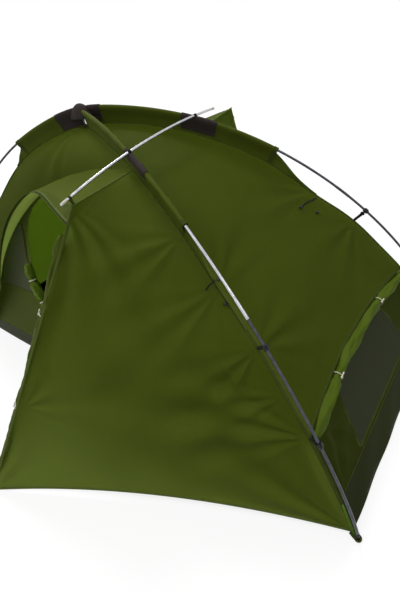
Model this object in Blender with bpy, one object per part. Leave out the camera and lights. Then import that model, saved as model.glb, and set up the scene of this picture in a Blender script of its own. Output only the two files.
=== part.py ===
"""Free-standing one-person dome tent: two crossed main poles, a short ridge pole,
a canopy hung from the poles, and a vestibule on each long side. Metres, +Z up.
The origin is the middle of the groundsheet's underside; +X is the tent's length,
and -Y is the side of the open door.
"""
import math

import bmesh
import bpy
import numpy as np

# Overall frame
FOOT_X = 1.13             # pole feet, half the length between them
FOOT_Y = 0.47             # pole feet, half the width between them
PEAK = 1.12               # height of the pole crossing
CROSS_X = -0.10           # the crossing stands this far from the middle
PLAN_POWER = 1.9          # how quickly a pole runs out sideways from the crossing
RISE_POWER = 1.55         # how square its arch is
PLAN_BOW = 0.07           # sideways bow of a pole leg

# Poles
POLE_R = 0.0045
POLE_BORE_R = 0.0024
SPIGOT_R = 0.0033
SOCKET_R = 0.0036
SPIGOT_LENGTH = 0.028
CORD_R = 0.00125
SECTIONS = 5              # tube sections in each main pole
POLE_SPANS = 48           # straight spans that stand for a bent pole
SPAN_DIP = 0.0006         # how far a span dips inside the curve it stands for
TIP_TOP = 0.035           # height of the pole's end above the ground
TIP_R = 0.0055
PIN_R = 0.0029

# Ridge pole
RIDGE_X = 0.33
RIDGE_NEAR = 0.46         # reach of its tip on the door side
RIDGE_FAR = 0.29          # reach of its tip on the far side
RIDGE_BEND_R = 2.4

# Cloth
CLOTH = 0.0011            # thickness that stands for a cloth panel
SEAM_GAP = 0.0009         # each panel stops this short of its seam line
FIN = 0.058               # depth of the sleeve's web, pole axis to seam
SLEEVE_WALL = 0.0010
SLEEVE_CLEAR = 0.0010
SLEEVE_END_RIGHT = 0.395  # how far down a leg the sleeve runs, 0 at the crossing
SLEEVE_END_LEFT = 0.207
SLEEVE_START = 0.065      # distance from the crossing, in metres
SAG = 0.030               # inward sag of a panel, share of its width
LINER_DEPTH = 0.026       # inner walls hang this far inside the canopy's seams
TUB_HEIGHT = 0.08
TUB_FOOT_DEPTH = 0.006    # the tray's lower corners come this near the seam line
FLOOR_SHEET = 0.003

# Vestibules
APEX_NEAR_Y = -0.43
APEX_NEAR_DROP = 0.0232   # the apex hangs this far under the ridge pole's axis
APEX_FAR_Y = 0.40
APEX_FAR_DROP = 0.0185
PEG_X = -0.09
PEG_Y = 1.00
HEM_LIFT = 0.025
HEM_BOW = 0.035
ROOF_START = 0.012        # place along a leg where the canopy begins
BELOW_APEX = 0.055        # the zipped arch starts this far under the apex
FRONT_FOOT = 0.975        # where the vestibule's front leaves the leg, just over the corner tab

# Door, windows and end flap
DOOR_X = -0.08
DOOR_Z = 0.575
DOOR_HALF_WIDTH = 0.37
DOOR_HALF_HEIGHT = 0.29
DOOR_SQUARENESS = 2.5
SIDE_MESH_LOW = 0.37
SIDE_MESH_HIGH = 0.70
SIDE_MESH_OUTER = -0.79
SIDE_MESH_INNER = -0.485
WINDOW_LOW = 0.095
WINDOW_HIGH = 0.285
WINDOW_HALF_LOW = 0.25
WINDOW_HALF_HIGH = 0.20
FLAP_SEAM = 0.745         # where the end flap hangs, as a place along a leg
FLAP_ARCH = 0.0225
FLAP_ROLL_R = 0.018
DOOR_ROLL_R = 0.017
DOOR_ROLL_INSET = 0.10    # share of its radius that the rolled door is tucked in behind the edge
DOOR_ROLL_CLEAR = 0.0009
WAIST = 0.0030            # how far a toggle's loop draws a roll in
LOOP_WALL = 0.0016        # cord that the toggle's loop is made of
LOOP_HALF = 0.002
LEFT_HEM = 0.955

# Fittings
CLIP_PLACES = (0.59, 0.744)
CLIP_LENGTH = 0.014
CLIP_WALL = 0.0022
STRAP_WIDTH = 0.011
STRAP_THICK = 0.0014
APEX_TIE_WIDTH = 0.008
TOGGLE_LENGTH = 0.024
TOGGLE_R = 0.0026
TAB_THICK = 0.0024
TAB_HALF_WIDTH = 0.011
TAB_Z = 0.006
SLIDER_HALF = 0.0022      # zip slider, half its height
SLIDER_HALF_WIDTH = 0.0045
PULL_HALF = 0.0010        # zip pull, half its thickness at the pivot
PULL_LENGTH = 0.028
PATCH_DROP = 0.0004       # fall of the crossing patch at the middle of its edges

GAP = 0.0003              # clearance between neighbours that touch
RUN = 0.0006              # clearance of a piece that turns on another

LEGS = {
    "near_right": (1, -1),
    "far_right": (1, 1),
    "near_left": (-1, -1),
    "far_left": (-1, 1),
}
POLES = {
    "a": ("far_left", "near_right"),
    "b": ("near_left", "far_right"),
}


def clear_scene():
    for obj in list(bpy.data.objects):
        bpy.data.objects.remove(obj, do_unlink=True)


def material(name, hex_colour, roughness, metallic=0.0):
    mat = bpy.data.materials.new(name)
    mat.use_nodes = True
    shader = mat.node_tree.nodes["Principled BSDF"]
    srgb = [int(hex_colour[i:i + 2], 16) / 255 for i in (0, 2, 4)]
    linear = [c / 12.92 if c <= 0.04045 else ((c + 0.055) / 1.055) ** 2.4 for c in srgb]
    shader.inputs["Base Color"].default_value = (*linear, 1.0)
    shader.inputs["Roughness"].default_value = roughness
    shader.inputs["Metallic"].default_value = metallic
    return mat


def unit(v):
    v = np.asarray(v, float)
    return v / np.maximum(np.linalg.norm(v, axis=-1, keepdims=True), 1e-12)


def add_mesh(name, verts, faces, mat, origin=(0, 0, 0), smooth=30):
    """One closed body; its object's origin goes to the given point."""
    mesh = bpy.data.meshes.new(name)
    shifted = np.asarray(verts, float) - np.asarray(origin, float)
    mesh.from_pydata([tuple(v) for v in shifted], [], [tuple(int(i) for i in f) for f in faces])
    shape = bmesh.new()
    shape.from_mesh(mesh)
    bmesh.ops.recalc_face_normals(shape, faces=shape.faces)
    shape.to_mesh(mesh)
    shape.free()
    mesh.materials.append(mat)
    mesh.shade_smooth()
    mesh.set_sharp_from_angle(angle=math.radians(smooth))
    obj = bpy.data.objects.new(name, mesh)
    obj.location = origin
    bpy.context.scene.collection.objects.link(obj)
    return obj


def cut(target, cutter, operation="DIFFERENCE"):
    """Boolean modifier with a hidden guide object."""
    cutter.hide_render = True
    cutter.display_type = "WIRE"
    mod = target.modifiers.new(operation.title(), "BOOLEAN")
    mod.operation = operation
    mod.solver = "EXACT"
    mod.object = cutter


def loft(name, rings, mat, bore=None, origin=(0, 0, 0)):
    """Skin over a row of rings, open along an optional bore of rings."""
    rings = np.asarray(rings, float)
    count, sides = rings.shape[:2]
    verts = list(rings.reshape(-1, 3))
    faces = []
    for i in range(count - 1):
        for j in range(sides):
            k = (j + 1) % sides
            faces.append((i * sides + j, i * sides + k, (i + 1) * sides + k, (i + 1) * sides + j))
    last = (count - 1) * sides
    if bore is None:
        faces.append(tuple(range(sides - 1, -1, -1)))
        faces.append(tuple(last + j for j in range(sides)))
        return add_mesh(name, verts, faces, mat, origin)
    base = len(verts)
    verts += list(np.asarray(bore, float).reshape(-1, 3))
    for i in range(count - 1):
        for j in range(sides):
            k = (j + 1) % sides
            faces.append((base + i * sides + j, base + (i + 1) * sides + j,
                          base + (i + 1) * sides + k, base + i * sides + k))
    for j in range(sides):
        k = (j + 1) % sides
        faces.append((j, base + j, base + k, k))
        faces.append((last + j, last + k, base + last + k, base + last + j))
    return add_mesh(name, verts, faces, mat, origin)


def circle(sides, radius, turn=0.0):
    return [(radius * math.cos(turn + 2 * math.pi * j / sides),
             radius * math.sin(turn + 2 * math.pi * j / sides)) for j in range(sides)]


def ring_points(centre, n, b, outline):
    """Outline pairs (along n, along b) around a centre."""
    return [np.asarray(centre) + p * n + q * b for p, q in outline]


def shell(name, grid, mat, thickness=CLOTH):
    """Closed thin panel around a grid of points; n points outwards of du x dv."""
    grid = np.asarray(grid, float)
    rows, cols = grid.shape[:2]
    du = np.gradient(grid, axis=0)
    dv = np.gradient(grid, axis=1)
    normal = unit(np.cross(du, dv))
    top = (grid + normal * thickness / 2).reshape(-1, 3)
    low = (grid - normal * thickness / 2).reshape(-1, 3)
    verts = np.vstack([top, low])
    size = rows * cols
    faces = []
    for i in range(rows - 1):
        for j in range(cols - 1):
            a, b = i * cols + j, (i + 1) * cols + j
            faces.append((a, b, b + 1, a + 1))
            faces.append((size + a, size + a + 1, size + b + 1, size + b))
    rim = [i * cols for i in range(rows - 1)]
    rim += [(rows - 1) * cols + j for j in range(cols - 1)]
    rim += [i * cols + cols - 1 for i in range(rows - 1, 0, -1)]
    rim += list(range(cols - 1, 0, -1))
    for a, b in zip(rim, rim[1:] + rim[:1]):
        faces.append((b, a, size + a, size + b))
    return add_mesh(name, verts, faces, mat, smooth=60)


def spline(knots, values, x):
    """Natural cubic spline through the values at the knots."""
    knots = np.asarray(knots, float)
    values = np.asarray(values, float)
    flat = values.ndim == 1
    values = values.reshape(len(knots), -1)
    h = np.diff(knots)
    n = len(knots)
    lhs = np.eye(n)
    rhs = np.zeros((n, values.shape[1]))
    slope = np.diff(values, axis=0) / h[:, None]
    for i in range(1, n - 1):
        lhs[i, i - 1:i + 2] = h[i - 1], 2 * (h[i - 1] + h[i]), h[i]
        rhs[i] = 6 * (slope[i] - slope[i - 1])
    bend = np.linalg.solve(lhs, rhs)
    x = np.asarray(x, float)
    i = np.clip(np.searchsorted(knots, x) - 1, 0, n - 2)
    left, right = knots[i + 1] - x, x - knots[i]
    hi = h[i]
    out = ((bend[i].T * left ** 3 + bend[i + 1].T * right ** 3) / (6 * hi)
           + (values[i].T / hi - bend[i].T * hi / 6) * left
           + (values[i + 1].T / hi - bend[i + 1].T * hi / 6) * right).T
    return out[..., 0] if flat else out


# Pole lines

def leg_formula(leg, s):
    """Superellipse leg from the crossing (0) to the foot (1)."""
    side_x, side_y = LEGS[leg]
    angle = np.clip(s, 0, 1) * math.pi / 2
    run = np.sin(angle) ** (2 / PLAN_POWER)
    x = CROSS_X + (side_x * FOOT_X - CROSS_X) * run
    y = side_y * FOOT_Y * (run + PLAN_BOW * run * (1 - run))
    z = PEAK * np.cos(angle) ** (2 / RISE_POWER)
    return np.stack([x, y, z], -1)


def pole_curve(pole):
    """Spline through both legs, so that they join smoothly at the crossing."""
    minus, plus = POLES[pole]
    s = np.array([0.06, 0.12, 0.2, 0.3, 0.4, 0.5, 0.6, 0.7, 0.8, 0.88, 0.94, 0.98, 1.0])
    knots = np.concatenate([-s[::-1], s])
    values = np.vstack([leg_formula(minus, s[::-1]), leg_formula(plus, s)])
    return knots, values


CURVES = {pole: pole_curve(pole) for pole in POLES}
BODY_LINE = {leg: (pole, -1 if leg == POLES[pole][0] else 1) for pole in POLES for leg in POLES[pole]}


def leg_line(leg, s):
    pole, sign = BODY_LINE[leg]
    return spline(*CURVES[pole], sign * np.asarray(s, float))


def pole_side(pole):
    """Level direction square to the pole's plan line."""
    minus, plus = (leg_formula(leg, np.array([1.0]))[0] for leg in POLES[pole])
    run = unit((plus - minus)[:2])
    return np.array([-run[1], run[0], 0.0])


def leg_outward(leg, s):
    """Unit vector square to the leg, up and outwards."""
    pole, sign = BODY_LINE[leg]
    s = np.asarray(s, float)
    step = 0.004
    tangent = sign * unit(leg_line(leg, np.minimum(s + step, 1)) - leg_line(leg, s - step))
    return unit(np.cross(tangent, pole_side(pole)))


def seam_depth(leg, s):
    """How far the canopy's seam lies inside the pole's axis."""
    if LEGS[leg][0] > 0:
        places = (0, SLEEVE_END_RIGHT, 0.49, CLIP_PLACES[0], 0.67, CLIP_PLACES[1], 0.87, 1)
        depths = (FIN, FIN, 0.078, 0.056, 0.060, 0.046, 0.040, 0.012)
    else:
        places = (0, SLEEVE_END_LEFT, 0.37, 0.50, CLIP_PLACES[0], 0.67, CLIP_PLACES[1], 0.87, 1)
        depths = (FIN, FIN, 0.082, 0.072, 0.056, 0.060, 0.046, 0.040, 0.012)
    fine = np.linspace(0, 1, 201)
    raw = np.interp(fine, places, depths)
    width = 9
    padded = np.pad(raw, width, mode="edge")
    soft = np.convolve(padded, np.ones(2 * width + 1) / (2 * width + 1), mode="valid")
    return np.interp(s, fine, soft)


def seam(leg, s, extra=0.0):
    s = np.asarray(s, float)
    depth = seam_depth(leg, s) + extra
    return leg_line(leg, s) - depth[..., None] * leg_outward(leg, s)


def level_place(z):
    """Place along a leg where the inner walls' seam stands at a height."""
    s = np.linspace(0.3, 1, 701)
    return float(np.interp(-z, -seam("near_right", s, LINER_DEPTH)[:, 2], s))


TUB_PLACE = level_place(TUB_HEIGHT)


SIDES = {
    "right": ("near_right", "far_right"),
    "far": ("far_right", "far_left"),
    "left": ("far_left", "near_left"),
    "near": ("near_left", "near_right"),
}


def skin(side, u, s, extra=0.0, sag=SAG):
    """Point of a wall between two legs, drawn in a little between them."""
    one, two = SIDES[side]
    u = np.asarray(u, float)
    s = np.asarray(s, float)
    p, q = seam(one, s, extra), seam(two, s, extra)
    inward = -unit(leg_outward(one, s) + leg_outward(two, s))
    width = np.linalg.norm(q - p, axis=-1)
    fade = np.clip(1 - (s / TUB_PLACE) ** 4, 0, 1)
    dip = sag * width * 4 * u * (1 - u) * fade
    return p + (q - p) * u[..., None] + inward * dip[..., None]


def skin_grid(side, places, across, extra=0.0, sag=SAG):
    """Grid of wall points: places along the legs, shares across between them."""
    u = np.asarray(across, float)
    return np.array([skin(side, u, np.full_like(u, s), extra, sag) for s in places])


# Bent tubes that follow the pole lines exactly

def pole_polyline(pole):
    """Straight spans along a main pole, with the upper pole raised at the crossing."""
    fine = np.linspace(-1, 1, 2001)
    points = spline(*CURVES[pole], fine)
    if pole == "b":
        points[:, 2] += (2 * POLE_R + RUN) * np.exp(-(fine / 0.10) ** 2)
    keep = points[:, 2] >= TIP_TOP
    points = points[keep]
    length = np.concatenate([[0], np.cumsum(np.linalg.norm(np.diff(points, axis=0), axis=1))])
    at = np.linspace(0, length[-1], POLE_SPANS + 1)
    vertices = np.stack([np.interp(at, length, points[:, k]) for k in range(3)], -1)
    middle = float(np.interp(0.0, fine[keep], length))
    return at, vertices, middle


POLYLINES = {pole: pole_polyline(pole) for pole in POLES}


def along(pole, distance):
    at, vertices, _ = POLYLINES[pole]
    return np.stack([np.interp(distance, at, vertices[:, k]) for k in range(3)], -1)


def frame_at(pole, distance):
    """Tangent, outward and sideways unit vectors, averaged at a span's end."""
    at, _, _ = POLYLINES[pole]
    step = at[1] * 0.5
    low = np.clip(distance - step, at[0], at[-1])
    high = np.clip(distance + step, at[0], at[-1])
    tangent = unit(along(pole, high) - along(pole, low))
    if distance - at[0] < GAP or at[-1] - distance < GAP:
        tangent = np.array([0.0, 0.0, math.copysign(1.0, tangent[2])])
    outward = unit(np.cross(tangent, pole_side(pole)))
    return tangent, outward, np.cross(tangent, outward)


def stations(pole, start, stop):
    """Distances from start to stop with every span end between them."""
    at, _, _ = POLYLINES[pole]
    inner = at[(at > start + 0.002) & (at < stop - 0.002)]
    return np.concatenate([[start], inner, [stop]])


def pole_rings(pole, distances, radii, sides=8):
    rings = []
    for d, r in zip(distances, radii):
        _, n, b = frame_at(pole, d)
        rings.append(ring_points(along(pole, d), n, b, circle(sides, r)))
    return rings


def leg_distance(leg, s):
    """Distance along the pole of a place on a leg."""
    pole, sign = BODY_LINE[leg]
    point = leg_line(leg, np.array([s]))[0]
    at, vertices, middle = POLYLINES[pole]
    fine = np.linspace(middle, at[-1] if sign > 0 else 0.0, 3001)
    flat = along(pole, fine) - point
    return float(fine[np.argmin((flat ** 2).sum(1))])


def build_poles(alloy, cord_mat, tip_mat):
    for pole in POLES:
        at, _, _ = POLYLINES[pole]
        total = at[-1]
        bounds = np.linspace(0, total, SECTIONS + 1)
        for i in range(SECTIONS):
            start, stop = bounds[i], bounds[i + 1]
            first = i == 0
            final = i == SECTIONS - 1
            body_start = start if first else start + GAP
            outer_d = list(stations(pole, body_start, stop))
            outer_r = [POLE_R] * len(outer_d)
            bore_d, bore_r = list(outer_d), [POLE_BORE_R] * len(outer_d)
            if not first:
                outer_d = [start - SPIGOT_LENGTH, body_start] + outer_d
                outer_r = [SPIGOT_R, SPIGOT_R] + outer_r
                bore_d = [start - SPIGOT_LENGTH, body_start] + bore_d
                bore_r = [POLE_BORE_R, POLE_BORE_R] + bore_r
            if not final:
                step = stop - SPIGOT_LENGTH - GAP
                keep = [k for k, d in enumerate(outer_d) if d < step - 0.002]
                outer_d = [outer_d[k] for k in keep] + [step, step, stop]
                outer_r = [outer_r[k] for k in keep] + [POLE_R, POLE_R, POLE_R]
                bore_d = [bore_d[k] for k in keep] + [step, step, stop]
                bore_r = [bore_r[k] for k in keep] + [POLE_BORE_R, SOCKET_R, SOCKET_R]
                outer_d[-2] = step + (stop - step) * 0.5
            loft(f"pole_{pole}_section_{i + 1}", pole_rings(pole, outer_d, outer_r), alloy,
                 bore=pole_rings(pole, bore_d, bore_r))
        inside = stations(pole, GAP, total - GAP)
        loft(f"shock_cord_{pole}", pole_rings(pole, inside, [CORD_R] * len(inside), 5), cord_mat)
    for leg in LEGS:
        pole, sign = BODY_LINE[leg]
        end = POLYLINES[pole][1][-1 if sign > 0 else 0]
        steps = ((TIP_TOP - GAP, POLE_R), (TIP_TOP - 0.006, TIP_R), (0.014, TIP_R),
                 (TAB_Z + TAB_THICK + 2 * GAP, 0.0045), (TAB_Z + TAB_THICK + GAP, PIN_R), (GAP, PIN_R))
        rings = [ring_points((end[0], end[1], z), np.array([1.0, 0, 0]), np.array([0, -1.0, 0]),
                             circle(10, r)) for z, r in steps]
        loft(f"pole_tip_{leg}", rings, tip_mat)


def foot_point(leg):
    pole, sign = BODY_LINE[leg]
    return POLYLINES[pole][1][-1 if sign > 0 else 0]


# Ridge pole

def crossing_place():
    """Place on a right leg where the ridge pole passes over it."""
    s = np.linspace(0.05, 0.6, 1101)
    line = leg_line("near_right", s)
    return float(np.interp(RIDGE_X, line[:, 0], s))


RIDGE_PLACE = crossing_place()
RIDGE_SEAT = leg_line("near_right", np.array([RIDGE_PLACE]))[0]
SLEEVE_R = POLE_R + SLEEVE_CLEAR + SLEEVE_WALL
RIDGE_SEAT_Z = RIDGE_SEAT[2] + SLEEVE_R + POLE_R + RUN


def ridge_height(y, lower=0.0):
    """Height of the ridge pole's axis, an arc about a level line far below."""
    seat_drop = RIDGE_BEND_R - math.sqrt(RIDGE_BEND_R ** 2 - RIDGE_SEAT[1] ** 2)
    top = RIDGE_SEAT_Z + seat_drop
    return top - RIDGE_BEND_R + np.sqrt(RIDGE_BEND_R ** 2 - np.asarray(y, float) ** 2) - lower


APEX_NEAR = (RIDGE_X, APEX_NEAR_Y, float(ridge_height(APEX_NEAR_Y)) - APEX_NEAR_DROP)
APEX_FAR = (RIDGE_X, APEX_FAR_Y, float(ridge_height(APEX_FAR_Y)) - APEX_FAR_DROP)


def build_ridge(alloy, webbing):
    ys = np.linspace(-RIDGE_NEAR, RIDGE_FAR, 19)
    centre_z = float(ridge_height(0.0)) - RIDGE_BEND_R
    rings = []
    radii = [POLE_R * 0.62] + [POLE_R] * (len(ys) - 2) + [POLE_R * 0.62]
    ys = np.insert(ys, [1, len(ys) - 1], [ys[0] + 0.004, ys[-1] - 0.004])
    radii = [radii[0], POLE_R] + radii[1:-1] + [POLE_R, radii[-1]]
    for y, r in zip(ys, radii):
        z = float(ridge_height(y))
        n = unit((0.0, y, z - centre_z))
        rings.append(ring_points((RIDGE_X, y, z), n, np.array([-1.0, 0, 0]), circle(10, r)))
    loft("ridge_pole", rings, alloy, origin=(RIDGE_X, 0.0, centre_z))

    inner, outer = POLE_R + RUN, POLE_R + RUN + STRAP_THICK
    for name, leg in (("near", "near_right"), ("far", "far_right")):
        y = math.copysign(RIDGE_SEAT[1], LEGS[leg][1])
        z = float(ridge_height(y))
        ahead = leg_line(leg, np.array([RIDGE_PLACE + 0.01]))[0] - leg_line(leg, np.array([RIDGE_PLACE]))[0]
        slope = ahead[2] / ahead[0]
        drop = RIDGE_SEAT[2] + SLEEVE_R * math.hypot(1, slope) + GAP - z
        turns = np.linspace(0, math.pi, 9)
        outline = [(outer, drop + slope * outer)]
        outline += [(outer * math.cos(a), outer * math.sin(a)) for a in turns]
        outline += [(-outer, drop - slope * outer), (-inner, drop - slope * inner)]
        outline += [(inner * math.cos(a), inner * math.sin(a)) for a in turns[::-1]]
        outline += [(inner, drop + slope * inner)]
        rings = [[np.array([RIDGE_X + p, y + side * STRAP_WIDTH / 2, z + q]) for p, q in outline]
                 for side in (1, -1)]
        build_band(f"ridge_loop_{name}", rings, webbing)


def build_band(name, rings, mat):
    """Prism between two equal outlines that fold back on themselves."""
    count = len(rings[0])
    half = count // 2
    verts = list(rings[0]) + list(rings[1])
    faces = []
    for j in range(count):
        k = (j + 1) % count
        faces.append((j, k, count + k, count + j))
    for j in range(half - 1):
        a, b = j, j + 1
        c, d = count - 2 - j, count - 1 - j
        faces.append((a, d, c, b))
        faces.append((count + a, count + b, count + c, count + d))
    return add_mesh(name, verts, faces, mat)


# Canopy

def share(points, u):
    """Points along a chain, by share of the way."""
    points = np.asarray(points, float)
    t = np.linspace(0, 1, len(points))
    return np.stack([np.interp(u, t, points[:, k]) for k in range(3)], -1)


def coons(top, bottom, start, stop, us, vs):
    """Patch between four borders; u runs start to stop, v top to bottom."""
    rows = []
    for v in vs:
        row = []
        for u in us:
            p = (1 - v) * top(u) + v * bottom(u) + (1 - u) * start(v) + u * stop(v)
            p -= (1 - u) * (1 - v) * top(0) + u * (1 - v) * top(1)
            p -= (1 - u) * v * bottom(0) + u * v * bottom(1)
            row.append(p)
        rows.append(row)
    return np.array(rows)


def drawn_in(grid):
    """The same grid with its four borders moved in square to themselves by the seam gap."""
    grid = np.array(grid, float)
    for view in (grid, grid[::-1], grid.swapaxes(0, 1), grid.swapaxes(0, 1)[::-1]):
        border, inner = view[0], view[1]
        tangent = unit(np.gradient(border, axis=0))
        into = inner - border
        into -= (into * tangent).sum(-1, keepdims=True) * tangent
        view[0] = border + unit(into) * SEAM_GAP
    return grid


def side_points(far):
    """Apex, peg corner, ridge seam start and the sign of y for one vestibule."""
    sign = 1.0 if far else -1.0
    apex = np.array(APEX_FAR if far else APEX_NEAR)
    peg = np.array([PEG_X, sign * PEG_Y, CLOTH])
    right = "far_right" if far else "near_right"
    left = "far_left" if far else "near_left"
    return sign, apex, peg, right, left


def arch_line(far):
    """Door zip line, from just under the apex over the wall to the left foot."""
    _, apex, peg, _, left = side_points(far)
    start = apex + BELOW_APEX * unit(peg - apex)
    end = seam(left, np.array([FRONT_FOOT]))[0]
    if far:
        chosen = [(0.10, 0.355, 0.930), (-0.20, 0.295, 0.900), (-0.42, 0.335, 0.775),
                  (-0.60, 0.405, 0.560), (-0.70, 0.440, 0.400)]
    else:
        chosen = [(0.09, -0.372, 0.925), (-0.20, -0.290, 0.900), (-0.42, -0.330, 0.775),
                  (-0.59, -0.400, 0.560), (-0.69, -0.435, 0.395)]
    points = np.vstack([start, np.array(chosen), end])
    knots = np.concatenate([[0], np.cumsum(np.linalg.norm(np.diff(points, axis=0), axis=1))])
    knots /= knots[-1]
    straight = knots[-2]

    def line(v):
        if v >= straight:
            part = (v - straight) / (1 - straight)
            return points[-2] + part * (points[-1] - points[-2])
        return spline(knots[:-1], points[:-1], np.array(v))
    return line


def hem_line(far):
    """Vestibule hem from the right foot to the peg corner, lifted and drawn in."""
    sign, _, peg, right, _ = side_points(far)
    foot = seam(right, np.array([FRONT_FOOT]))[0]
    inward = np.array([0.0, -sign, 0.0])

    def line(u):
        return foot + (peg - foot) * u + 4 * u * (1 - u) * (HEM_BOW * inward + np.array([0, 0, HEM_LIFT]))
    return line


ARCH_ROWS = np.linspace(0.06, 0.98, 12)


def roof_grid(far):
    """Canopy panel over one long side, from the pole sleeves down to the zipped arch."""
    _, apex, peg, right, left = side_points(far)
    arch = arch_line(far)
    below, foot = arch(0.0), arch(1.0)
    seat = seam(right, np.array([RIDGE_PLACE]))[0]
    top_seam = seam(right, np.linspace(ROOF_START, RIDGE_PLACE, 12))
    corner_shift = top_seam[0] - seam(left, np.array([ROOF_START]))[0]

    def top(u):
        if u <= 0.45:
            return share(top_seam, np.array(u / 0.45))
        if u <= 0.9:
            return seat + (apex - seat) * (u - 0.45) / 0.45
        return apex + (below - apex) * (u - 0.9) / 0.1

    def left_seam(v):
        place = ROOF_START + (FRONT_FOOT - ROOF_START) * v
        return seam(left, np.array([place]))[0] + corner_shift * max(0.0, 1 - 12 * v)

    us = np.array([0, 0.15, 0.30, 0.45, 0.60, 0.75, 0.90, 1.0])
    vs = np.concatenate([[0], ARCH_ROWS])
    return drawn_in(coons(top, lambda u: foot, left_seam, arch, us, vs))


def front_grid(far):
    """Vestibule panel between the right leg and the edge from apex to peg."""
    _, apex, peg, right, _ = side_points(far)
    seat = seam(right, np.array([RIDGE_PLACE]))[0]

    def leg_seam(v):
        return seam(right, np.array([RIDGE_PLACE + (FRONT_FOOT - RIDGE_PLACE) * v]))[0]

    return drawn_in(coons(lambda u: seat + (apex - seat) * u, hem_line(far), leg_seam,
                          lambda v: apex + (peg - apex) * v, np.linspace(0, 1, 9), np.linspace(0, 1, 11)))


def closed_door_grid():
    """Closed vestibule door of the far side, from the peg edge to the zipped arch."""
    _, _, peg, _, _ = side_points(True)
    arch = arch_line(True)
    below, end = arch(0.0), arch(1.0)

    def hem(u):
        return peg + (end - peg) * u + 4 * u * (1 - u) * np.array([0, -HEM_BOW, HEM_LIFT])

    return drawn_in(coons(lambda u: below, hem, lambda v: below + (peg - below) * v, arch,
                          np.linspace(0, 1, 7), ARCH_ROWS))


def end_bottom(u, flap):
    """Place along the legs where an end panel stops."""
    if flap:
        return FLAP_SEAM - FLAP_ARCH * 4 * u * (1 - u)
    return LEFT_HEM


def end_grid(side, flap):
    across = np.linspace(0, 1, 9)
    rows = []
    for k in np.linspace(0, 1, 13):
        line = []
        for u in across:
            s = ROOF_START + (end_bottom(u, flap) - ROOF_START) * k
            line.append(skin_grid(side, [s], [u])[0][0])
        rows.append(line)
    return drawn_in(rows)


def build_walls(mat, net, floor_mat):
    """Inner walls with their openings, and the nets that fill the windows."""
    for side in SIDES:
        places = np.concatenate([np.linspace(0.05, 0.75, 9), np.linspace(0.80, TUB_PLACE, 3)])
        grid = skin_grid(side, places, np.linspace(0, 1, 11), LINER_DEPTH)
        wall = shell(f"{side}_wall", drawn_in(grid), mat)
        if side == "near":
            cut(wall, prism("door_guide", door_outline(), axis=1, start=-0.60, stop=-0.05))
            cut(wall, prism("side_mesh_guide", side_mesh_outline(), axis=1, start=-0.60, stop=-0.05))
        if side == "right":
            cut(wall, prism("window_guide", window_outline(), axis=0, start=0.6, stop=1.3))
    net_panel("side_net", "near", side_mesh_outline(), net)
    net_panel("end_net", "right", window_outline(), net)
    build_floor(floor_mat)


def door_outline():
    points = []
    for a in np.linspace(0, 2 * math.pi, 33)[:-1]:
        c, s = math.cos(a), math.sin(a)
        x = DOOR_X + DOOR_HALF_WIDTH * math.copysign(abs(c) ** (2 / DOOR_SQUARENESS), c)
        z = DOOR_Z + DOOR_HALF_HEIGHT * math.copysign(abs(s) ** (2 / DOOR_SQUARENESS), s)
        points.append((x, z))
    return points


def side_mesh_outline():
    return [(SIDE_MESH_OUTER, SIDE_MESH_LOW), (SIDE_MESH_INNER, SIDE_MESH_LOW),
            (SIDE_MESH_INNER, SIDE_MESH_HIGH), (SIDE_MESH_OUTER + 0.20, SIDE_MESH_HIGH)]


def window_outline():
    return [(-WINDOW_HALF_LOW, WINDOW_LOW), (WINDOW_HALF_LOW, WINDOW_LOW),
            (WINDOW_HALF_HIGH, WINDOW_HIGH), (-WINDOW_HALF_HIGH, WINDOW_HIGH)]


def prism(name, outline, axis, start, stop):
    """Guide solid: an outline of (level, height) pairs drawn out along X or Y."""
    order = outline if axis == 1 else outline[::-1]
    verts = []
    for depth in (start, stop):
        for level, height in order:
            verts.append((level, depth, height) if axis == 1 else (depth, level, height))
    count = len(order)
    faces = [tuple(range(count)), tuple(range(2 * count - 1, count - 1, -1))]
    for j in range(count):
        k = (j + 1) % count
        faces.append((k, j, count + j, count + k))
    return add_mesh(name, verts, faces, bpy.data.materials[0])


def net_panel(name, side, outline, mat):
    """Net that fills a four-cornered window, laid on the wall's own surface."""
    s_fine = np.linspace(0.05, TUB_PLACE, 200)
    low, high = outline[0][1], outline[2][1]
    rows = []
    for z in np.linspace(high - 0.001, low + 0.001, 7):
        part = (z - low) / (high - low)
        left = outline[0][0] + (outline[3][0] - outline[0][0]) * part + 0.001
        right = outline[1][0] + (outline[2][0] - outline[1][0]) * part - 0.001
        line = []
        for level in np.linspace(left, right, 7):
            line.append(wall_point(side, level, z, s_fine))
        rows.append(line)
    shell(name, np.array(rows), mat, thickness=0.0010)


def wall_point(side, level, z, s_fine):
    """Point of an inner wall at a level coordinate and a height."""
    axis = 0 if side in ("near", "far") else 1
    s = float(np.interp(-z, -skin(side, np.full_like(s_fine, 0.5), s_fine, LINER_DEPTH)[:, 2], s_fine))
    u = 0.5
    for _ in range(12):
        ends = skin(side, np.array([0.0, 1.0]), np.array([s, s]), LINER_DEPTH)[:, axis]
        u = (level - ends[0]) / (ends[1] - ends[0])
        here = skin(side, np.full_like(s_fine, u), s_fine, LINER_DEPTH)
        s = float(np.interp(-z, -here[:, 2], s_fine))
    return skin(side, np.array(u), np.array(s), LINER_DEPTH)


def tub_corner(leg):
    """Lower and upper end of the groundsheet tray's corner edge."""
    base = seam(leg, np.array([1.0]), TUB_FOOT_DEPTH)[0]
    rim = seam(leg, np.array([TUB_PLACE]), LINER_DEPTH)[0]
    base[2], rim[2] = 0.0, TUB_HEIGHT
    return base, rim


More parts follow.
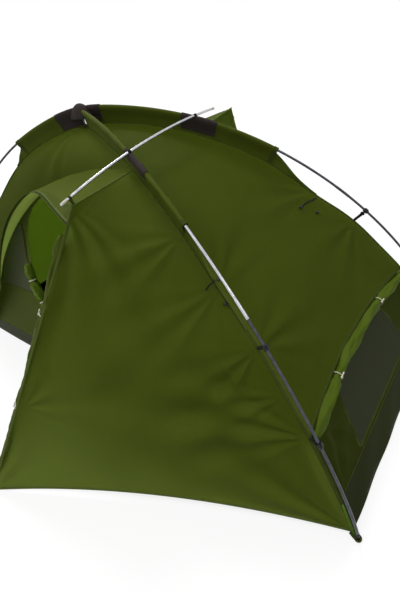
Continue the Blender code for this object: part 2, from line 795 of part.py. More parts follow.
def build_floor(mat):
    """Groundsheet tray: flat sheet with raised walls."""
    order = ("near_left", "near_right", "far_right", "far_left")
    corners = np.array([tub_corner(leg) for leg in order])
    base, rim = corners[:, 0], corners[:, 1]
    inward = -np.sign(base[:, :2]) * CLOTH
    low_in = base + (rim - base) * FLOOR_SHEET / TUB_HEIGHT
    rim_in = rim.copy()
    low_in[:, :2] += inward
    rim_in[:, :2] += inward
    loops = [base, rim, rim_in, low_in]
    verts = np.vstack(loops)
    faces = [(3, 2, 1, 0), (12, 13, 14, 15)]
    for level in range(3):
        for j in range(4):
            k = (j + 1) % 4
            faces.append((level * 4 + j, level * 4 + k, level * 4 + 4 + k, level * 4 + 4 + j))
    add_mesh("groundsheet", verts, faces, mat)


def build_sleeves(mat):
    """Tube round the pole with a flat web down to the canopy's seam."""
    for leg in LEGS:
        pole, sign = BODY_LINE[leg]
        _, _, middle = POLYLINES[pole]
        end_place = SLEEVE_END_RIGHT if LEGS[leg][0] > 0 else SLEEVE_END_LEFT
        far_end = leg_distance(leg, end_place)
        near_end = middle + sign * SLEEVE_START
        low, high = min(near_end, far_end), max(near_end, far_end)
        web = CLOTH * 0.4
        outer = [(SLEEVE_R * math.cos(a), SLEEVE_R * math.sin(a))
                 for a in np.linspace(math.radians(-157.5), math.radians(157.5), 8)]
        tail = FIN - CLOTH / 2 - GAP - SPAN_DIP
        outline = outer + [(-SLEEVE_R - 0.004, web), (-tail, web), (-tail, -web), (-SLEEVE_R - 0.004, -web)]
        inner_r = SLEEVE_R - SLEEVE_WALL
        inner = [(inner_r * math.cos(a), inner_r * math.sin(a))
                 for a in np.linspace(math.radians(-157.5), math.radians(157.5), 8)]
        inner += [(-inner_r * 0.93, 0.0006), (-inner_r * 0.94, 0.0002), (-inner_r * 0.94, -0.0002),
                  (-inner_r * 0.93, -0.0006)]
        rings, bores = [], []
        for d in stations(pole, low, high):
            _, n, b = frame_at(pole, d)
            centre = along(pole, d)
            rings.append(ring_points(centre, n, b, outline))
            bores.append(ring_points(centre, n, b, inner))
        loft(f"sleeve_{leg}", rings, mat, bore=bores)


def build_clips(mat):
    for leg in LEGS:
        pole, _ = BODY_LINE[leg]
        for number, place in enumerate(CLIP_PLACES):
            d = leg_distance(leg, place)
            t, n, b = frame_at(pole, d)
            centre = along(pole, d)
            inner = POLE_R + RUN
            outer = inner + CLIP_WALL
            outline = circle(12, outer)
            rings = [ring_points(centre + t * e, n, b, outline) for e in (-CLIP_LENGTH / 2, CLIP_LENGTH / 2)]
            bores = [ring_points(centre + t * e, n, b, circle(12, inner)) for e in
                     (-CLIP_LENGTH / 2, CLIP_LENGTH / 2)]
            name = f"pole_clip_{leg}_{number + 1}"
            ring = loft(name, rings, mat, bore=bores, origin=centre)
            reach = float(seam_depth(leg, place)) - CLOTH / 2 - GAP
            near = inner + CLIP_WALL * 0.5
            strap = box(f"strap_guide_{leg}_{number + 1}", centre - n * (near + reach) / 2, t, n, b,
                        (STRAP_WIDTH, reach - near, STRAP_THICK))
            cut(ring, strap, "UNION")


def box(name, centre, t, n, b, size):
    """Guide block with its edges along three unit vectors."""
    verts = []
    for i in (-0.5, 0.5):
        for j in (-0.5, 0.5):
            for k in (-0.5, 0.5):
                verts.append(centre + t * size[0] * i + n * size[1] * j + b * size[2] * k)
    faces = [(0, 1, 3, 2), (4, 6, 7, 5), (0, 4, 5, 1), (2, 3, 7, 6), (0, 2, 6, 4), (1, 5, 7, 3)]
    if np.dot(np.cross(t, n), b) < 0:
        faces = [f[::-1] for f in faces]
    return add_mesh(name, verts, faces, bpy.data.materials[0])


TOGGLES = (
    ("end_toggle_near", "flap", 0.27),
    ("end_toggle_far", "flap", 0.73),
    ("door_toggle_upper", "door", 0.325),
    ("door_toggle_lower", "door", 0.655),
)


def edge_frame(border, inner, u):
    """Point of a panel's border, the way along it, and the way off the panel."""
    u = np.array(u)
    point = share(border, u)
    along_edge = unit(share(np.gradient(border, axis=0), u))
    off = point - share(inner, u)
    return point, along_edge, unit(off - np.dot(off, along_edge) * along_edge)


def flap_roll_point(u):
    """Axis of the rolled end flap, hung under the end panel's lower edge."""
    grid = end_grid("right", True)
    point, _, off = edge_frame(grid[-1], grid[-2], u)
    return point + off * (FLAP_ROLL_R + GAP), -off


def door_roll_point(v):
    """Axis of the rolled door, tucked in behind the vestibule's open edge."""
    grid = front_grid(False)
    point, along_edge, off = edge_frame(grid[:, -1], grid[:, -2], v)
    face = np.cross(along_edge, off)
    inward = face * math.copysign(1.0, -face[0])
    back = inward * (DOOR_ROLL_R + CLOTH / 2 + DOOR_ROLL_CLEAR)
    return point + back - off * DOOR_ROLL_R * DOOR_ROLL_INSET, -inward


ROLLS = {
    "flap": (flap_roll_point, FLAP_ROLL_R, 0.03, 0.97, 9),
    "door": (door_roll_point, DOOR_ROLL_R, 0.095, 0.93, 11),
}


def roll(name, which, mat, sides=12):
    """Rolled cloth with small ends, drawn in where a toggle's loop holds it."""
    point, radius, first, last, count = ROLLS[which]
    length = np.linalg.norm(point(last)[0] - point(first)[0]) / (last - first)
    stops = [(first, 0.6), (first + 0.02 / length, 1.0), (last - 0.02 / length, 1.0), (last, 0.6)]
    held = [place for _, kind, place in TOGGLES if kind == which]
    for place in held:
        for side in (-1, 1):
            stops.append((place + side * (TOGGLE_LENGTH / 2 + RUN) / length, 1 - WAIST / radius))
            stops.append((place + side * TOGGLE_LENGTH / length, 1.0))
    for place in np.linspace(0, 1, count):
        if first + 0.03 < place < last - 0.03 and all(abs(place - other) > 0.02 for other in held):
            stops.append((place, 1.0))
    stops.sort()
    points = np.array([point(place)[0] for place, _ in stops])
    tangents = unit(np.gradient(points, axis=0))
    rings = []
    for (place, part), p, t in zip(stops, points, tangents):
        seat = point(place)[1]
        n = unit(seat - np.dot(seat, t) * t)
        rings.append(ring_points(p, n, np.cross(t, n), circle(sides, radius * part)))
    loft(name, rings, mat)


def build_toggles(mat):
    for name, which, place in TOGGLES:
        point, radius = ROLLS[which][:2]
        centre = point(place)[0]
        t = unit(point(place + 0.01)[0] - point(place - 0.01)[0])
        face = np.array([1.0, -0.2, 0.6]) if which == "flap" else np.array([-1.0, -0.6, 0.0])
        n = unit(face - np.dot(face, t) * t)
        b = np.cross(t, n)
        inner = (radius - WAIST + RUN) / math.cos(math.pi / 16)
        outer = inner + LOOP_WALL
        ends = (-LOOP_HALF, LOOP_HALF)
        rings = [ring_points(centre + t * e, n, b, circle(16, outer)) for e in ends]
        bores = [ring_points(centre + t * e, n, b, circle(16, inner)) for e in ends]
        loop = loft(name, rings, mat, bore=bores, origin=centre)
        middle = centre + n * (outer + TOGGLE_R * 0.6)
        half = TOGGLE_LENGTH / 2
        bars = [ring_points(middle + t * e, n, b, circle(10, r)) for e, r in
                ((-half, TOGGLE_R * 0.7), (-half + 0.002, TOGGLE_R), (half - 0.002, TOGGLE_R),
                 (half, TOGGLE_R * 0.7))]
        bar = loft(f"{name}_guide", bars, mat)
        cut(loop, bar, "UNION")


def build_corners(mat):
    """Webbing tab from the groundsheet's corner to the pole tip, with an eyelet hole."""
    for leg in LEGS:
        foot = foot_point(leg)
        base, rim = tub_corner(leg)
        corner = base + (rim - base) * TAB_Z / TUB_HEIGHT
        run = unit(np.array([foot[0] - corner[0], foot[1] - corner[1], 0.0]))
        across = np.array([-run[1], run[0], 0.0])
        length = np.linalg.norm(foot[:2] - corner[:2]) - 2 * GAP
        outline = [(-length, -TAB_HALF_WIDTH), (-length, TAB_HALF_WIDTH)]
        outline += [(TAB_HALF_WIDTH * math.sin(a), TAB_HALF_WIDTH * math.cos(a))
                    for a in np.linspace(0, math.pi, 9)]
        rings = []
        for z in (TAB_Z, TAB_Z + TAB_THICK):
            rings.append([np.array([foot[0], foot[1], z]) + run * p + across * q for p, q in outline])
        tab = loft(f"corner_tab_{leg}", rings[::-1], mat)
        rings = [ring_points((foot[0], foot[1], z), np.array([1.0, 0, 0]), np.array([0, -1.0, 0]),
                             circle(12, PIN_R + RUN)) for z in (TAB_Z + 0.02, TAB_Z - 0.02)]
        cut(tab, loft(f"eyelet_guide_{leg}", rings, mat))


def build_hood(mat):
    """Scuff patch over the pole crossing, clear of both poles."""
    half = 0.030
    grid = []
    top = along("b", POLYLINES["b"][2])[2] + POLE_R
    for x in np.linspace(-half, half, 7):
        row = []
        for y in np.linspace(-half, half, 7):
            row.append((CROSS_X + x, y, top + CLOTH / 2 + RUN - PATCH_DROP * (x * x + y * y) / half ** 2))
        grid.append(row)
    shell("crossing_patch", np.array(grid), mat)


def build_apex_tie(mat):
    """Ring of webbing that hangs the vestibule's apex from the ridge pole."""
    y = APEX_NEAR[1] + 0.004
    centre = np.array([RIDGE_X, y, float(ridge_height(y))])
    inner = POLE_R + RUN
    n = unit((0.0, y, centre[2] - float(ridge_height(0.0)) + RIDGE_BEND_R))
    b = np.array([1.0, 0.0, 0.0])
    t = np.cross(b, n)
    ends = (-APEX_TIE_WIDTH / 2, APEX_TIE_WIDTH / 2)
    rings = [ring_points(centre + t * e, n, b, circle(12, inner + STRAP_THICK)) for e in ends]
    bores = [ring_points(centre + t * e, n, b, circle(12, inner)) for e in ends]
    ring = loft("apex_tie", rings, mat, bore=bores)
    low = centre[2] - APEX_NEAR[2] - CLOTH / 2 - GAP
    high = inner + STRAP_THICK / 2
    strap = box("apex_tie_guide", centre - n * (low + high) / 2, b, n, t,
                (STRAP_THICK, low - high, APEX_TIE_WIDTH))
    cut(ring, strap, "UNION")


def build_zip(metal, pull_mat):
    """Slider on the straight lower run of the door zip, with a hanging pull."""
    roof = roof_grid(False)
    edge, inner = roof[:, -1], roof[:, -2]
    row = len(edge) - 3
    run = unit(edge[row + 1] - edge[row])
    into = unit(inner[row] - edge[row])
    out = unit(np.cross(run, into))
    if out[1] > 0:
        out = -out
    centre = edge[row] - into * (SLIDER_HALF_WIDTH + GAP)
    side = np.cross(run, out)
    bevel = SLIDER_HALF_WIDTH / 3
    outline = [(-SLIDER_HALF, -SLIDER_HALF_WIDTH), (SLIDER_HALF - bevel / 2, -SLIDER_HALF_WIDTH),
               (SLIDER_HALF, bevel - SLIDER_HALF_WIDTH), (SLIDER_HALF, SLIDER_HALF_WIDTH - bevel),
               (SLIDER_HALF - bevel / 2, SLIDER_HALF_WIDTH), (-SLIDER_HALF, SLIDER_HALF_WIDTH)]
    rings = [ring_points(centre + run * e, out, side, [(p * k, q * k) for p, q in outline])
             for e, k in ((-0.006, 0.9), (0.0, 1.0), (0.007, 0.75))]
    loft("door_slider", rings, metal, origin=centre)
    pivot = centre + out * (SLIDER_HALF + PULL_HALF + RUN)
    hang = unit(np.array([0.0, 0.0, -1.0]) + side[2] * side)
    rings = [ring_points(pivot + hang * e, np.cross(side, hang), side, [(-w, -k), (w, -k), (w, k), (-w, k)])
             for e, w, k in ((0.0, PULL_HALF, 0.0022), (0.004, 0.0008, 0.0030),
                             (PULL_LENGTH - 0.002, 0.0008, 0.0030), (PULL_LENGTH, 0.0006, 0.0020))]
    loft("door_pull", rings, pull_mat, origin=pivot)


def main():
    clear_scene()
    olive = material("olive_ripstop", "42501F", 0.62)
    olive_front = material("olive_ripstop_front", "3C4A1A", 0.62)
    liner = material("olive_inner", "3A4716", 0.66)
    net = material("grey_net", "4B503B", 0.8)
    sheet = material("floor_cloth", "2B3112", 0.55)
    alloy = material("anodised_alloy", "B4B2AA", 0.25, 1.0)
    tip_mat = material("tip_alloy", "2A2A2A", 0.4, 0.8)
    cord_mat = material("shock_cord", "1E1E1E", 0.8)
    webbing = material("black_webbing", "191A18", 0.75)
    scuff = material("scuff_patch", "47403C", 0.8)
    cream = material("cream_toggle", "E4E0CC", 0.45)
    metal = material("zip_alloy", "4A4A48", 0.35, 0.9)

    build_poles(alloy, cord_mat, tip_mat)
    build_ridge(alloy, webbing)
    build_sleeves(olive)
    for name, far in (("near", False), ("far", True)):
        shell(f"{name}_roof", roof_grid(far), olive)
        shell(f"{name}_vestibule", front_grid(far), olive_front)
    shell("far_door", closed_door_grid(), olive_front)
    shell("right_end", end_grid("right", True), olive)
    shell("left_end", end_grid("left", False), olive)
    build_walls(liner, net, sheet)
    roll("end_flap_roll", "flap", olive)
    roll("door_roll", "door", olive)
    build_clips(webbing)
    build_toggles(cream)
    build_corners(webbing)
    build_hood(scuff)
    build_apex_tie(webbing)
    build_zip(metal, webbing)


main()
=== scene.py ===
"""Looks of a free-standing one-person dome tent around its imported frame: two crossed
main poles in sleeves, a short ridge pole, a ripstop canopy with its near door rolled
back, net windows and the fittings that hold them. Metres, +Z up, -Y is the open side.
"""

import math

import bmesh
import bpy
import numpy as np
from mathutils import Matrix, Vector


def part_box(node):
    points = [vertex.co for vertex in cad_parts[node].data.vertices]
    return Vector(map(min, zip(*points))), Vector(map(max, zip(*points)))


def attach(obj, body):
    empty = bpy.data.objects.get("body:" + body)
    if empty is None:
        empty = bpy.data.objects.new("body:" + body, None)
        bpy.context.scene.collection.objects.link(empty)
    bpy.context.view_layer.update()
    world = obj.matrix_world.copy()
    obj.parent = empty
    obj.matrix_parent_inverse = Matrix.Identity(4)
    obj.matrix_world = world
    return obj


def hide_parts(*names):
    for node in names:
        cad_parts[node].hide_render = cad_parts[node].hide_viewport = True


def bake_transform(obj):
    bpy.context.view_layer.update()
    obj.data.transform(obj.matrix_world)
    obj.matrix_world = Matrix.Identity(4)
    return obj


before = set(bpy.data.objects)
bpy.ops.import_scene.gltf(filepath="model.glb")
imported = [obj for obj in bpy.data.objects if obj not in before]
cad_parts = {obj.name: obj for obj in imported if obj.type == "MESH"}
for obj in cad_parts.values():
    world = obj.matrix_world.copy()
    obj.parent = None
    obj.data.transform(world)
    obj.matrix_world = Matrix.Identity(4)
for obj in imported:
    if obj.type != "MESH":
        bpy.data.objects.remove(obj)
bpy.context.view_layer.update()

# Overall frame, as the solids have it
FOOT_X = 1.13
FOOT_Y = 0.47
PEAK = 1.12
CROSS_X = -0.10
PLAN_POWER = 1.9
RISE_POWER = 1.55
PLAN_BOW = 0.07
POLE_R = 0.0045
SECTIONS = 5
TIP_TOP = 0.035
TIP_R = 0.0055
PIN_R = 0.0029
RIDGE_X = 0.33
RIDGE_NEAR = 0.46
RIDGE_FAR = 0.29
RIDGE_BEND_R = 2.4
CLOTH = 0.0011
SEAM_GAP = 0.0009
FIN = 0.058
SLEEVE_WALL = 0.0010
SLEEVE_CLEAR = 0.0010
SLEEVE_END_RIGHT = 0.395
SLEEVE_END_LEFT = 0.207
SAG = 0.030
LINER_DEPTH = 0.026
TUB_HEIGHT = 0.08
TUB_FOOT_DEPTH = 0.006
APEX_NEAR_Y = -0.43
APEX_NEAR_DROP = 0.0232
APEX_FAR_Y = 0.40
APEX_FAR_DROP = 0.0185
PEG_X = -0.09
PEG_Y = 1.00
HEM_LIFT = 0.025
HEM_BOW = 0.035
ROOF_START = 0.012
BELOW_APEX = 0.055
FRONT_FOOT = 0.975
DOOR_X = -0.08
DOOR_Z = 0.575
DOOR_HALF_WIDTH = 0.37
DOOR_HALF_HEIGHT = 0.29
DOOR_SQUARENESS = 2.5
DOOR_POINTS = 120
SIDE_MESH_LOW = 0.37
SIDE_MESH_HIGH = 0.70
SIDE_MESH_OUTER = -0.79
SIDE_MESH_INNER = -0.485
WINDOW_LOW = 0.095
WINDOW_HIGH = 0.285
WINDOW_HALF_LOW = 0.25
WINDOW_HALF_HIGH = 0.20
FLAP_SEAM = 0.745
FLAP_ARCH = 0.0225
FLAP_ROLL_R = 0.018
DOOR_ROLL_R = 0.017
DOOR_ROLL_INSET = 0.10
DOOR_ROLL_CLEAR = 0.0009
WAIST = 0.0030
LEFT_HEM = 0.955
CLIP_PLACES = (0.59, 0.744)
STRAP_WIDTH = 0.011
TOGGLE_LENGTH = 0.024
TOGGLE_R = 0.0026
TAB_THICK = 0.0024
TAB_HALF_WIDTH = 0.011
TAB_Z = 0.006
GAP = 0.0003
RUN = 0.0006
LEGS = {"near_right": (1, -1), "far_right": (1, 1), "near_left": (-1, -1), "far_left": (-1, 1)}
POLES = {"a": ("far_left", "near_right"), "b": ("near_left", "far_right")}

TENT_MIDDLE = np.array([0.0, 0.0, 0.35])

# The photograph's view: turns in radians, place in metres, focal length and shifts in its pixels
CAMERA_YAW, CAMERA_PITCH, CAMERA_ROLL = 0.7685, 0.5361, -0.2618
CAMERA_PLACE = (1.3854, -0.9848, 1.3916)
PHOTO_HEIGHT = 600
PHOTO_FOCAL = 413.6
PHOTO_SHIFT = (-17.226, -53.58)


def unit(v):
    v = np.asarray(v, float)
    return v / np.maximum(np.linalg.norm(v, axis=-1, keepdims=True), 1e-12)


def tangents(points):
    return unit(np.gradient(points, axis=0))


def square_to(vectors, line):
    """The vectors without their parts along the unit vectors of a line."""
    return vectors - (vectors * line).sum(-1, keepdims=True) * line


def run_along(points):
    """Distance from the first point of a chain to each of its points."""
    return np.concatenate([[0], np.cumsum(np.linalg.norm(np.diff(points, axis=0), axis=1))])


def between(at, places, points):
    """Points at some places of a chain whose own places are given."""
    return np.stack([np.interp(at, places, values) for values in np.transpose(points)], -1)


def spline(knots, values, x):
    """Natural cubic spline through the values at the knots."""
    knots = np.asarray(knots, float)
    values = np.asarray(values, float)
    h = np.diff(knots)
    n = len(knots)
    lhs = np.eye(n)
    rhs = np.zeros((n, values.shape[1]))
    slope = np.diff(values, axis=0) / h[:, None]
    for i in range(1, n - 1):
        lhs[i, i - 1:i + 2] = h[i - 1], 2 * (h[i - 1] + h[i]), h[i]
        rhs[i] = 6 * (slope[i] - slope[i - 1])
    bend = np.linalg.solve(lhs, rhs)
    x = np.asarray(x, float)
    i = np.clip(np.searchsorted(knots, x) - 1, 0, n - 2)
    left, right = knots[i + 1] - x, x - knots[i]
    hi = h[i]
    return ((bend[i].T * left ** 3 + bend[i + 1].T * right ** 3) / (6 * hi)
            + (values[i].T / hi - bend[i].T * hi / 6) * left
            + (values[i + 1].T / hi - bend[i + 1].T * hi / 6) * right).T


def leg_formula(leg, s):
    """Superellipse leg from the crossing (0) to the foot (1)."""
    side_x, side_y = LEGS[leg]
    angle = np.clip(s, 0, 1) * math.pi / 2
    run = np.sin(angle) ** (2 / PLAN_POWER)
    x = CROSS_X + (side_x * FOOT_X - CROSS_X) * run
    y = side_y * FOOT_Y * (run + PLAN_BOW * run * (1 - run))
    z = PEAK * np.cos(angle) ** (2 / RISE_POWER)
    return np.stack([x, y, z], -1)


def pole_curve(pole):
    """Spline through both legs, so that they join smoothly at the crossing."""
    minus, plus = POLES[pole]
    s = np.array([0.06, 0.12, 0.2, 0.3, 0.4, 0.5, 0.6, 0.7, 0.8, 0.88, 0.94, 0.98, 1.0])
    knots = np.concatenate([-s[::-1], s])
    values = np.vstack([leg_formula(minus, s[::-1]), leg_formula(plus, s)])
    return knots, values


CURVES = {pole: pole_curve(pole) for pole in POLES}
BODY_LINE = {leg: (pole, -1 if leg == POLES[pole][0] else 1) for pole in POLES for leg in POLES[pole]}


def leg_line(leg, s):
    pole, sign = BODY_LINE[leg]
    return spline(*CURVES[pole], sign * np.asarray(s, float))


def pole_side(pole):
    """Level direction square to the pole's plan line."""
    minus, plus = (leg_formula(leg, np.array([1.0]))[0] for leg in POLES[pole])
    run = unit((plus - minus)[:2])
    return np.array([-run[1], run[0], 0.0])


def leg_outward(leg, s):
    """Unit vector square to the leg, up and outwards."""
    pole, sign = BODY_LINE[leg]
    s = np.asarray(s, float)
    step = 0.004
    tangent = sign * unit(leg_line(leg, np.minimum(s + step, 1)) - leg_line(leg, s - step))
    return unit(np.cross(tangent, pole_side(pole)))


def seam_depth(leg, s):
    """How far the canopy's seam lies inside the pole's axis."""
    if LEGS[leg][0] > 0:
        places = (0, SLEEVE_END_RIGHT, 0.49, CLIP_PLACES[0], 0.67, CLIP_PLACES[1], 0.87, 1)
        depths = (FIN, FIN, 0.078, 0.056, 0.060, 0.046, 0.040, 0.012)
    else:
        places = (0, SLEEVE_END_LEFT, 0.37, 0.50, CLIP_PLACES[0], 0.67, CLIP_PLACES[1], 0.87, 1)
        depths = (FIN, FIN, 0.082, 0.072, 0.056, 0.060, 0.046, 0.040, 0.012)
    fine = np.linspace(0, 1, 201)
    raw = np.interp(fine, places, depths)
    width = 9
    padded = np.pad(raw, width, mode="edge")
    soft = np.convolve(padded, np.ones(2 * width + 1) / (2 * width + 1), mode="valid")
    return np.interp(s, fine, soft)


def seam(leg, s, extra=0.0):
    s = np.asarray(s, float)
    depth = seam_depth(leg, s) + extra
    return leg_line(leg, s) - depth[..., None] * leg_outward(leg, s)


def seam_point(leg, place, extra=0.0):
    return seam(leg, np.array([place]), extra)[0]


def level_place(z):
    """Place along a leg where the inner walls' seam stands at a height."""
    s = np.linspace(0.3, 1, 701)
    return float(np.interp(-z, -seam("near_right", s, LINER_DEPTH)[:, 2], s))


TUB_PLACE = level_place(TUB_HEIGHT)


SIDES = {
    "right": ("near_right", "far_right"),
    "far": ("far_right", "far_left"),
    "left": ("far_left", "near_left"),
    "near": ("near_left", "near_right"),
}


def skin(side, u, s, extra=0.0):
    """Point of a wall between two legs, drawn in a little between them."""
    one, two = SIDES[side]
    u = np.asarray(u, float)
    s = np.asarray(s, float)
    p, q = seam(one, s, extra), seam(two, s, extra)
    inward = -unit(leg_outward(one, s) + leg_outward(two, s))
    width = np.linalg.norm(q - p, axis=-1)
    fade = np.clip(1 - (s / TUB_PLACE) ** 4, 0, 1)
    dip = SAG * width * 4 * u * (1 - u) * fade
    return p + (q - p) * u[..., None] + inward * dip[..., None]


def crossing_place():
    """Place on a right leg where the ridge pole passes over it."""
    s = np.linspace(0.05, 0.6, 1101)
    line = leg_line("near_right", s)
    return float(np.interp(RIDGE_X, line[:, 0], s))


RIDGE_PLACE = crossing_place()
RIDGE_SEAT = leg_line("near_right", np.array([RIDGE_PLACE]))[0]
SLEEVE_R = POLE_R + SLEEVE_CLEAR + SLEEVE_WALL
RIDGE_SEAT_Z = RIDGE_SEAT[2] + SLEEVE_R + POLE_R + RUN


def ridge_height(y):
    """Height of the ridge pole's axis, an arc about a level line far below."""
    seat_drop = RIDGE_BEND_R - math.sqrt(RIDGE_BEND_R ** 2 - RIDGE_SEAT[1] ** 2)
    top = RIDGE_SEAT_Z + seat_drop
    return top - RIDGE_BEND_R + np.sqrt(RIDGE_BEND_R ** 2 - np.asarray(y, float) ** 2)


APEX_NEAR = (RIDGE_X, APEX_NEAR_Y, float(ridge_height(APEX_NEAR_Y)) - APEX_NEAR_DROP)
APEX_FAR = (RIDGE_X, APEX_FAR_Y, float(ridge_height(APEX_FAR_Y)) - APEX_FAR_DROP)


def share(points, u):
    """Points along a chain, by share of the way."""
    points = np.asarray(points, float)
    t = np.linspace(0, 1, len(points))
    return between(u, t, points)


def side_points(far):
    """Apex, peg corner, ridge seam start and the sign of y for one vestibule."""
    sign = 1.0 if far else -1.0
    apex = np.array(APEX_FAR if far else APEX_NEAR)
    peg = np.array([PEG_X, sign * PEG_Y, CLOTH])
    right = "far_right" if far else "near_right"
    left = "far_left" if far else "near_left"
    return sign, apex, peg, right, left


def arch_line(far):
    """Door zip line, from just under the apex over the wall to the left foot."""
    _, apex, peg, _, left = side_points(far)
    start = apex + BELOW_APEX * unit(peg - apex)
    end = seam_point(left, FRONT_FOOT)
    if far:
        chosen = [(0.10, 0.355, 0.930), (-0.20, 0.295, 0.900), (-0.42, 0.335, 0.775),
                  (-0.60, 0.405, 0.560), (-0.70, 0.440, 0.400)]
    else:
        chosen = [(0.09, -0.372, 0.925), (-0.20, -0.290, 0.900), (-0.42, -0.330, 0.775),
                  (-0.59, -0.400, 0.560), (-0.69, -0.435, 0.395)]
    points = np.vstack([start, np.array(chosen), end])
    knots = run_along(points)
    knots /= knots[-1]
    straight = knots[-2]

    def line(v):
        if v >= straight:
            part = (v - straight) / (1 - straight)
            return points[-2] + part * (points[-1] - points[-2])
        return spline(knots[:-1], points[:-1], np.array(v))
    return line


def hem_line(far):
    """Vestibule hem from the right foot to the peg corner, lifted and drawn in."""
    sign, _, peg, right, _ = side_points(far)
    foot = seam_point(right, FRONT_FOOT)
    inward = np.array([0.0, -sign, 0.0])

    def line(u):
        return foot + (peg - foot) * u + 4 * u * (1 - u) * (HEM_BOW * inward + np.array([0, 0, HEM_LIFT]))
    return line


def door_outline():
    points = []
    for a in np.linspace(0, 2 * math.pi, DOOR_POINTS + 1)[:-1]:
        c, s = math.cos(a), math.sin(a)
        x = DOOR_X + DOOR_HALF_WIDTH * math.copysign(abs(c) ** (2 / DOOR_SQUARENESS), c)
        z = DOOR_Z + DOOR_HALF_HEIGHT * math.copysign(abs(s) ** (2 / DOOR_SQUARENESS), s)
        points.append((x, z))
    return points


def side_mesh_outline():
    return [(SIDE_MESH_OUTER, SIDE_MESH_LOW), (SIDE_MESH_INNER, SIDE_MESH_LOW),
            (SIDE_MESH_INNER, SIDE_MESH_HIGH), (SIDE_MESH_OUTER + 0.20, SIDE_MESH_HIGH)]


def window_outline():
    return [(-WINDOW_HALF_LOW, WINDOW_LOW), (WINDOW_HALF_LOW, WINDOW_LOW),
            (WINDOW_HALF_HIGH, WINDOW_HIGH), (-WINDOW_HALF_HIGH, WINDOW_HIGH)]


def wall_point(side, level, z, s_fine):
    """Point of an inner wall at a level coordinate and a height."""
    axis = 0 if side in ("near", "far") else 1
    s = float(np.interp(-z, -skin(side, np.full_like(s_fine, 0.5), s_fine, LINER_DEPTH)[:, 2], s_fine))
    u = 0.5
    for _ in range(12):
        ends = skin(side, np.array([0.0, 1.0]), np.array([s, s]), LINER_DEPTH)[:, axis]
        u = (level - ends[0]) / (ends[1] - ends[0])
        here = skin(side, np.full_like(s_fine, u), s_fine, LINER_DEPTH)
        s = float(np.interp(-z, -here[:, 2], s_fine))
    return skin(side, np.array(u), np.array(s), LINER_DEPTH)


def tub_corner(leg):
    """Lower and upper end of the groundsheet tray's corner edge."""
    base = seam_point(leg, 1.0, TUB_FOOT_DEPTH)
    rim = seam_point(leg, TUB_PLACE, LINER_DEPTH)
    base[2], rim[2] = 0.0, TUB_HEIGHT
    return base, rim


def edge_frame(border, inner, u):
    """Point of a panel's border, the way along it, and the way off the panel."""
    u = np.array(u)
    point = share(border, u)
    along_edge = unit(share(np.gradient(border, axis=0), u))
    off = point - share(inner, u)
    return point, along_edge, unit(off - np.dot(off, along_edge) * along_edge)


# Finishes

def linear(code):
    """An sRGB hex colour as the linear colour that a shader takes."""
    srgb = [int(code[i:i + 2], 16) / 255 for i in (0, 2, 4)]
    return (*[c / 12.92 if c <= 0.04045 else ((c + 0.055) / 1.055) ** 2.4 for c in srgb], 1.0)


def add(tree, kind, inputs=None, **settings):
    """A node with its settings, its plain values and its links."""
    node = tree.nodes.new(kind)
    for key, value in settings.items():
        setattr(node, key, value)
    for key, value in (inputs or {}).items():
        if isinstance(value, bpy.types.NodeSocket):
            tree.links.new(value, node.inputs[key])
        else:
            node.inputs[key].default_value = value
    return node


def finish_tree(name):
    mat = bpy.data.materials.new(name)
    mat.use_nodes = True
    mat.node_tree.nodes.clear()
    return mat, mat.node_tree


def two_tone(tree, factor, dark, light):
    """Colour between two hex values by a factor socket."""
    mix = add(tree, "ShaderNodeMix", {0: factor, 6: linear(dark), 7: linear(light)}, data_type="RGBA")
    return mix.outputs[2]


def noise(tree, place, scale, detail, **more):
    settings = {"Vector": place, "Scale": scale, "Detail": detail, **more}
    return add(tree, "ShaderNodeTexNoise", settings).outputs[0]


def maths(tree, operation, *values):
    return add(tree, "ShaderNodeMath", dict(enumerate(values)), operation=operation).outputs[0]


def spread_over(tree, value, low, high, start=0.0, stop=1.0):
    """A value between start and stop as one between low and high."""
    return add(tree, "ShaderNodeMapRange", {"Value": value, "From Min": start, "From Max": stop,
                                            "To Min": low, "To Max": high}).outputs[0]


def bump(tree, height, strength, distance, **more):
    settings = {"Strength": strength, "Distance": distance, "Height": height, **more}
    return add(tree, "ShaderNodeBump", settings).outputs[0]


RIPSTOP_PITCH = 0.005     # squares of the reinforcing threads
RIPSTOP_THREAD = 0.0004
NET_PITCH = 0.0024


